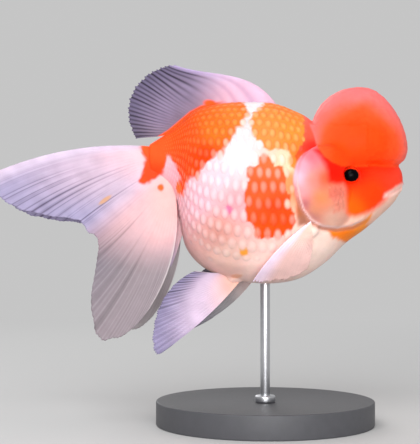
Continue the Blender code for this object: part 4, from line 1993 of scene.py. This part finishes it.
@dataclass
class PairedFin(Fin):
    """A pectoral, pelvic or anal fin: a fan from a short root line on one side."""

    side: Side = Side.RIGHT
    root: tuple[Span, Span] = ((0.0, 0.0), (1.0, 0.0))
    root_side: float = 0.0
    fan: Span = (0.0, 90.0)
    lengths: Span = (20.0, 20.0)
    length_power: float = 1.0
    bow: Span = (0.0, 0.0)
    splay: float = 0.0
    tip_round: float = 0.0
    tip_from: float = 0.86
    cup: float = 0.0
    body: BodyShape | None = None
    clearance: Span = (0.5, -0.3)
    """How far its free part and its foremost part lie off the flank."""
    least_side: float = 14.0

    def surface(self, across: Values, along: Values) -> Points:
        """The fin's middle surface, fanned out from its root line.

        Args:
            across: the share of the fan.
            along: the share of the ray's length.

        Returns:
            One place for each vertex, in fish millimetres.
        """
        sign = self.side.value
        angle = np.radians(mix(*self.fan, across))
        length = mix(*self.lengths, across**self.length_power)
        past = np.clip((across - self.tip_from) / (1.0 - self.tip_from), 0.0, 1.0)
        length = length * (1.0 - self.tip_round * (1.0 - np.sqrt(1.0 - past**2)))
        splay = np.full(len(across), sign * math.tan(math.radians(self.splay)))
        outward = np.stack([-np.cos(angle), splay, -np.sin(angle)], axis=1)
        first, last = (np.array((x, sign * self.root_side, z)) for x, z in self.root)
        tip = (first + last) / 2 + outward * length[:, None]
        root = mix(first, last, across[:, None])
        points = self.ray_points(root, tip, along, mix(*self.bow, across))
        lift = self.cup * 4.0 * along * (1.0 - along)
        if self.body is None:
            points[:, 1] += sign * lift
        else:
            flank = self.body.side_at(points[:, 0], points[:, 2])
            flank = (flank**4 + self.least_side**4) ** 0.25
            off = mix(*self.clearance, smooth_step(0.55, 1.0, across))
            flank = flank + off + lift * (1.0 - across) ** 2
            points[:, 1] = mix(points[:, 1], sign * flank, smooth_step(0.0, 0.25, along))
        return points


DORSAL_LOOK = FinLook(
    (118, 104, 122), (128, 115, 141), (98, 90, 116), (20, 14, 28), (166, 152, 190), 0.02, 0.95
)
TAIL_LOOK = FinLook(
    (236, 190, 196), (188, 168, 186), (150, 143, 172), (66, 54, 80), (196, 180, 200), 0.1, 0.95
)
PECTORAL_LOOK = FinLook(
    (238, 196, 180), (238, 194, 188), (238, 196, 190), (222, 178, 176), (250, 224, 246), 0.2, 0.2
)
PELVIC_LOOK = FinLook(
    (238, 182, 160), (196, 176, 196), (140, 132, 164), (40, 34, 52), (190, 174, 190), 0.55, 0.9
)
# Painted shade: the far pelvic fin, a mirror of the near one, has greyer and darker colours for its
# inner face in shade.
FAR_PELVIC_PAINTED_SHADE_LOOK = FinLook(
    (196, 176, 172), (150, 148, 150), (136, 133, 144), (50, 46, 58), (170, 168, 172), 0.3, 0.9
)
ANAL_LOOK = FinLook(
    (246, 190, 190), (230, 190, 196), (186, 172, 196), (140, 126, 150), (236, 214, 222), 0.3, 0.6
)


def make_fins(body: BodyShape, markings: Markings) -> list[Fin]:
    """All the fins of the fish.

    Args:
        body: the body that they grow from.
        markings: the colours that run onto the tail.

    Returns:
        The fins, one object each when built.
    """
    fins: list[Fin] = [
        DorsalFin(
            "dorsal_fin_rays", DORSAL_LOOK, rays=22, samples=14, steps=64, notch=0.03,
            ragged=0.006, line_evenness=0.55, line_sharpness=4.0, branch=(0.8, 1.3), body=body,
        )
    ]
    for side in Side:
        label = side.name.lower()
        far = side is Side.LEFT
        fins.append(
            TailFin(
                f"tail_fin_{label}_rays", TAIL_LOOK, rays=36, samples=9, steps=84, notch=0.005,
                ragged=0.004, line_evenness=0.05, line_bias=3.5, pleat=0.0, ray_height=0.05,
                side=side, markings=markings, turn=(2.0, 3.8) if far else (0.0, 0.0),
            )
        )
        fins.append(
            PairedFin(
                f"pectoral_fin_{label}_rays", PECTORAL_LOOK, rays=13, notch=0.03, pleat=0.03,
                lead_width=0.3, side=side, root=((12.4, -11.2), (13.8, -14.2)), root_side=22.0,
                fan=(43.7, 88.0), lengths=(24.8, 12.6), length_power=0.75, bow=(1.7, -0.6),
                cup=2.7, body=body,
            )
        )
        fins.append(
            PairedFin(
                f"pelvic_fin_{label}_rays", FAR_PELVIC_PAINTED_SHADE_LOOK if far else PELVIC_LOOK, rays=22,
                samples=12, notch=0.01, ragged=0.004, pleat=0.0, ray_height=0.05,
                line_sharpness=3.0, line_fall=0.6, lead_width=0.02, side=side,
                root=((-9.0, -27.4), (-4.2, -29.8)) if far else ((-12.4, -26.6), (-8.1, -28.8)),
                root_side=6.5, fan=(-12.0, 45.0) if far else (-7.0, 46.0),
                lengths=(13.2, 27.5) if far else (12.8, 37.2),
                bow=(-0.4, -1.9) if far else (-0.4, -1.4), splay=13.0, tip_round=0.09,
            )
        )
        fins.append(
            PairedFin(
                f"anal_fin_{label}_rays", ANAL_LOOK, rays=8, notch=0.03, side=side,
                root=((-28.0, -2.5), (-26.0, -8.5)), root_side=1.5, fan=(38.0, 78.0),
                lengths=(19.0, 20.5), bow=(0.4, -0.4), splay=6.0,
            )
        )
    return fins


# Eyes and stand


@dataclass
class Eye:
    """One eye: a glossy ball with a black pupil and a thin orange iris."""

    place: EyePlace
    side: Side
    iris: Colour = (224, 50, 14)
    iris_edge: Colour = (170, 30, 10)
    pupil: Colour = (4, 4, 6)
    iris_fade: Span = (2.5, 2.9)
    pupil_fade: Span = (0.98, 1.04)

    def build(self) -> Piece:
        """The eyeball, a plain ball with its pupil on its outer side.

        Returns:
            The eye's object.
        """
        label = self.side.name.lower()
        eye = add_sphere(f"eyeball_{label}", 64, 40)
        x, y, z = self.place.at
        points = poles_sideways(read_vertices(eye)) * self.place.radius
        put_points(eye, points + (x, self.side.value * y, z))
        wide, tall = self.place.pupil
        far = np.hypot(points[:, 0], points[:, 2])
        from_pupil = np.hypot(points[:, 0] / wide, points[:, 2] / tall)
        outer = smooth_step(*self.iris_fade, far)[:, None]
        iris = mix(linear(self.iris), linear(self.iris_edge), outer)
        tint = mix(linear(self.pupil), iris, smooth_step(*self.pupil_fade, from_pupil)[:, None])
        inward = points[:, 1] * self.side.value < 0
        tint[inward] = linear(self.pupil)
        store_tint(eye, tint)
        eye.data.shade_smooth()
        eye.data.materials.append(EYE_FINISH.material())
        return eye


@dataclass
class Stand:
    """The round base, its rod and a small collar where the rod enters."""

    base_radius: float = 36.0
    base_height: float = 8.0
    rod_radius: float = 1.6
    rod_top: float = 47.5
    collar_radius: float = 3.4
    collar_height: float = 2.4
    step_width: float = 5.0
    step_depth: float = 0.8
    rod_sunk: float = 0.7
    base_edge: float = 0.5
    rod_edge: float = 0.1
    collar_edge: float = 0.6

    def _cylinder(
        self, name: str, radius: float, low: float, high: float, sides: int
    ) -> Piece:
        """An upright cylinder between two heights above the floor, its place in its mesh.

        Args:
            name: the piece's name.
            radius: its radius.
            low: its lower end.
            high: its upper end.
            sides: how many faces it has round it.

        Returns:
            The cylinder's object.
        """
        clear_selection()
        bpy.ops.mesh.primitive_cylinder_add(
            vertices=sides, radius=radius * MM, depth=(high - low) * MM,
            location=(0.0, 0.0, (high + low) / 2 * MM),
        )
        obj = bpy.context.object
        obj.name = obj.data.name = name
        bpy.ops.object.transform_apply(location=True, rotation=True, scale=True)
        return obj

    def _finish(self, obj: Piece, edge: float, finish: Finish) -> Piece:
        """Rounds a piece's edges and gives it its finish.

        Args:
            obj: the piece.
            edge: the rounding's width.
            finish: what it is made of.

        Returns:
            The same piece.
        """
        apply_modifier(obj, "BEVEL", width=edge * MM, segments=4, limit_method="ANGLE")
        make_active(obj)
        bpy.ops.object.shade_smooth_by_angle(angle=math.radians(30.0))
        obj.data.materials.clear()
        obj.data.materials.append(finish.material())
        return obj

    def build_base(self) -> Piece:
        """The base, with a shallow step round its top.

        Returns:
            The base's object.
        """
        base = self._cylinder("base_disc", self.base_radius, 0.0, self.base_height, 160)
        bpy.ops.object.mode_set(mode="EDIT")
        bpy.ops.mesh.select_all(action="DESELECT")
        bpy.ops.object.mode_set(mode="OBJECT")
        for face in base.data.polygons:
            face.select = face.normal.z > 0.9
        bpy.ops.object.mode_set(mode="EDIT")
        bpy.ops.mesh.select_mode(type="FACE")
        bpy.ops.mesh.inset(thickness=self.step_width * MM)
        bpy.ops.transform.translate(value=(0.0, 0.0, -self.step_depth * MM))
        bpy.ops.object.mode_set(mode="OBJECT")
        return self._finish(base, self.base_edge, BASE_FINISH)

    def build_rod(self) -> Piece:
        """The rod, from the base up into the belly.

        Returns:
            The rod's object.
        """
        low = self.base_height - self.rod_sunk
        rod = self._cylinder("rod_shaft", self.rod_radius, low, self.rod_top, 40)
        return self._finish(rod, self.rod_edge, STEEL_FINISH)

    def build_collar(self) -> Piece:
        """A low collar round the rod's foot.

        Returns:
            The collar's object.
        """
        low = self.base_height - self.step_depth
        high = low + self.collar_height
        collar = self._cylinder("rod_collar", self.collar_radius, low, high, 64)
        return self._finish(collar, self.collar_edge, STEEL_FINISH)


# The studio


class Lamp(NamedTuple):
    """A square soft light: its place and side in metres, and its power in watts."""

    name: str
    at: Place
    size: float
    power: float


@dataclass
class Studio:
    """Floor, light and camera."""

    floor_radius: float = 3.0
    backdrop: float = 0.56
    floor_colour: float = 0.56
    fade: Span = (0.18, 0.5)
    camera_at: Place = (-0.0182, -0.450, 0.0667)
    frame_height: float = 0.14652
    sensor: float = 36.0
    lamps: tuple[Lamp, ...] = (
        Lamp("key", (-0.14, -0.50, 0.46), 0.4, 2.45),
        Lamp("fill", (0.12, -0.75, 0.10), 0.5, 2.4),
        Lamp("low", (0.00, -0.48, 0.03), 0.25, 1.6),
        Lamp("back", (-0.25, 0.55, 0.45), 0.5, 1.6),
    )

    def build(self) -> None:
        """Makes the whole studio."""
        self._world()
        self._floor()
        for lamp in self.lamps:
            self._light(lamp)
        self._camera()

    def _world(self) -> None:
        """A plain pale surround."""
        world = bpy.data.worlds.new("surround")
        world.use_nodes = True
        pale = (self.backdrop,) * 3 + (1.0,)
        set_inputs(world.node_tree.nodes["Background"], {"Color": pale})
        bpy.context.scene.world = world
        bpy.context.scene.view_settings.view_transform = "Standard"

    def _floor(self) -> None:
        """A pale floor that fades into the surround."""
        clear_selection()
        bpy.ops.mesh.primitive_circle_add(vertices=96, radius=self.floor_radius, fill_type="NGON")
        floor = bpy.context.object
        floor.name = floor.data.name = "floor"
        material = bpy.data.materials.new("floor")
        material.use_nodes = True
        tree = material.node_tree
        shader = tree.nodes["Principled BSDF"]
        pale = (self.floor_colour,) * 3 + (1.0,)
        set_inputs(shader, {"Base Color": pale, "Roughness": 0.8, "Specular IOR Level": 0.1})
        glow = tree.nodes.new("ShaderNodeEmission")
        set_inputs(glow, {"Color": (self.backdrop,) * 3 + (1.0,)})
        place = tree.nodes.new("ShaderNodeTexCoord")
        length = tree.nodes.new("ShaderNodeVectorMath")
        length.operation = "LENGTH"
        fade = tree.nodes.new("ShaderNodeMapRange")
        fade.interpolation_type = "SMOOTHSTEP"
        set_inputs(fade, dict(zip(("From Min", "From Max"), self.fade)))
        mixed = tree.nodes.new("ShaderNodeMixShader")
        tree.links.new(place.outputs["Object"], length.inputs[0])
        tree.links.new(length.outputs["Value"], fade.inputs["Value"])
        tree.links.new(fade.outputs["Result"], mixed.inputs["Fac"])
        tree.links.new(shader.outputs["BSDF"], mixed.inputs[1])
        tree.links.new(glow.outputs["Emission"], mixed.inputs[2])
        tree.links.new(mixed.outputs["Shader"], tree.nodes["Material Output"].inputs["Surface"])
        floor.data.materials.append(material)

    def _light(self, lamp: Lamp) -> None:
        """A soft light that faces the fish.

        Args:
            lamp: which light it is.
        """
        data = bpy.data.lights.new(lamp.name, "AREA")
        data.size = lamp.size
        data.energy = lamp.power
        light = bpy.data.objects.new(lamp.name, data)
        bpy.context.scene.collection.objects.link(light)
        light.location = lamp.at
        aim = Vector((0.0, 0.0, SWIM_HEIGHT * MM)) - light.location
        light.rotation_euler = aim.to_track_quat("-Z", "Y").to_euler()

    def _camera(self) -> None:
        """The camera, level with the fish and on its right."""
        data = bpy.data.cameras.new("camera")
        data.sensor_width = self.sensor
        data.lens = self.sensor * -self.camera_at[1] / self.frame_height
        camera = bpy.data.objects.new("camera", data)
        camera.location = self.camera_at
        camera.rotation_euler = (math.radians(90.0), 0.0, 0.0)
        bpy.context.scene.collection.objects.link(camera)
        bpy.context.scene.camera = camera


def settle(piece: Piece, slot: str, *nodes: str) -> None:
    """Hands a finished piece over: it rides on the one body and stands for its nodes.

    Args:
        piece: the finished piece.
        slot: the name of a material slot; it is not used.
        nodes: the nodes that it stands for.
    """
    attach(piece, "root")
    if nodes:
        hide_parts(*nodes)
    triangles = sum(len(face.vertices) - 2 for face in piece.data.polygons)
    LOG.info("%s: %d triangles", piece.name, triangles)


def main() -> None:
    """Builds every piece in order."""
    logging.basicConfig(level=logging.INFO, format="%(name)s: %(message)s")
    Studio().build()
    body, crown, eyes = BodyShape(), Crown(), EyePlace()
    covers = tuple(GillCover(side.value) for side in Side)
    markings = Markings(crown, covers)
    skin = Skin(body, crown, covers, eyes, markings).build()
    settle(
        skin, "scaly_skin", "head", "crown", "trunk", "tail_stalk", "gill_cover_left",
        "gill_cover_right", "lips",
    )
    for side in Side:
        settle(ScaleCoat(body, markings, side.value).build(), "scaly_skin")
        settle(Eye(eyes, side).build(), "eye", f"eye_{side.name.lower()}")
    for fin in make_fins(body, markings):
        settle(fin.build(), "fin", fin.name.removesuffix("_rays"))
    stand = Stand()
    settle(stand.build_base(), "stand_base", "stand_base")
    settle(stand.build_rod(), "stand_rod", "stand_rod")
    settle(stand.build_collar(), "stand_rod")


if __name__ == "__main__":
    main()
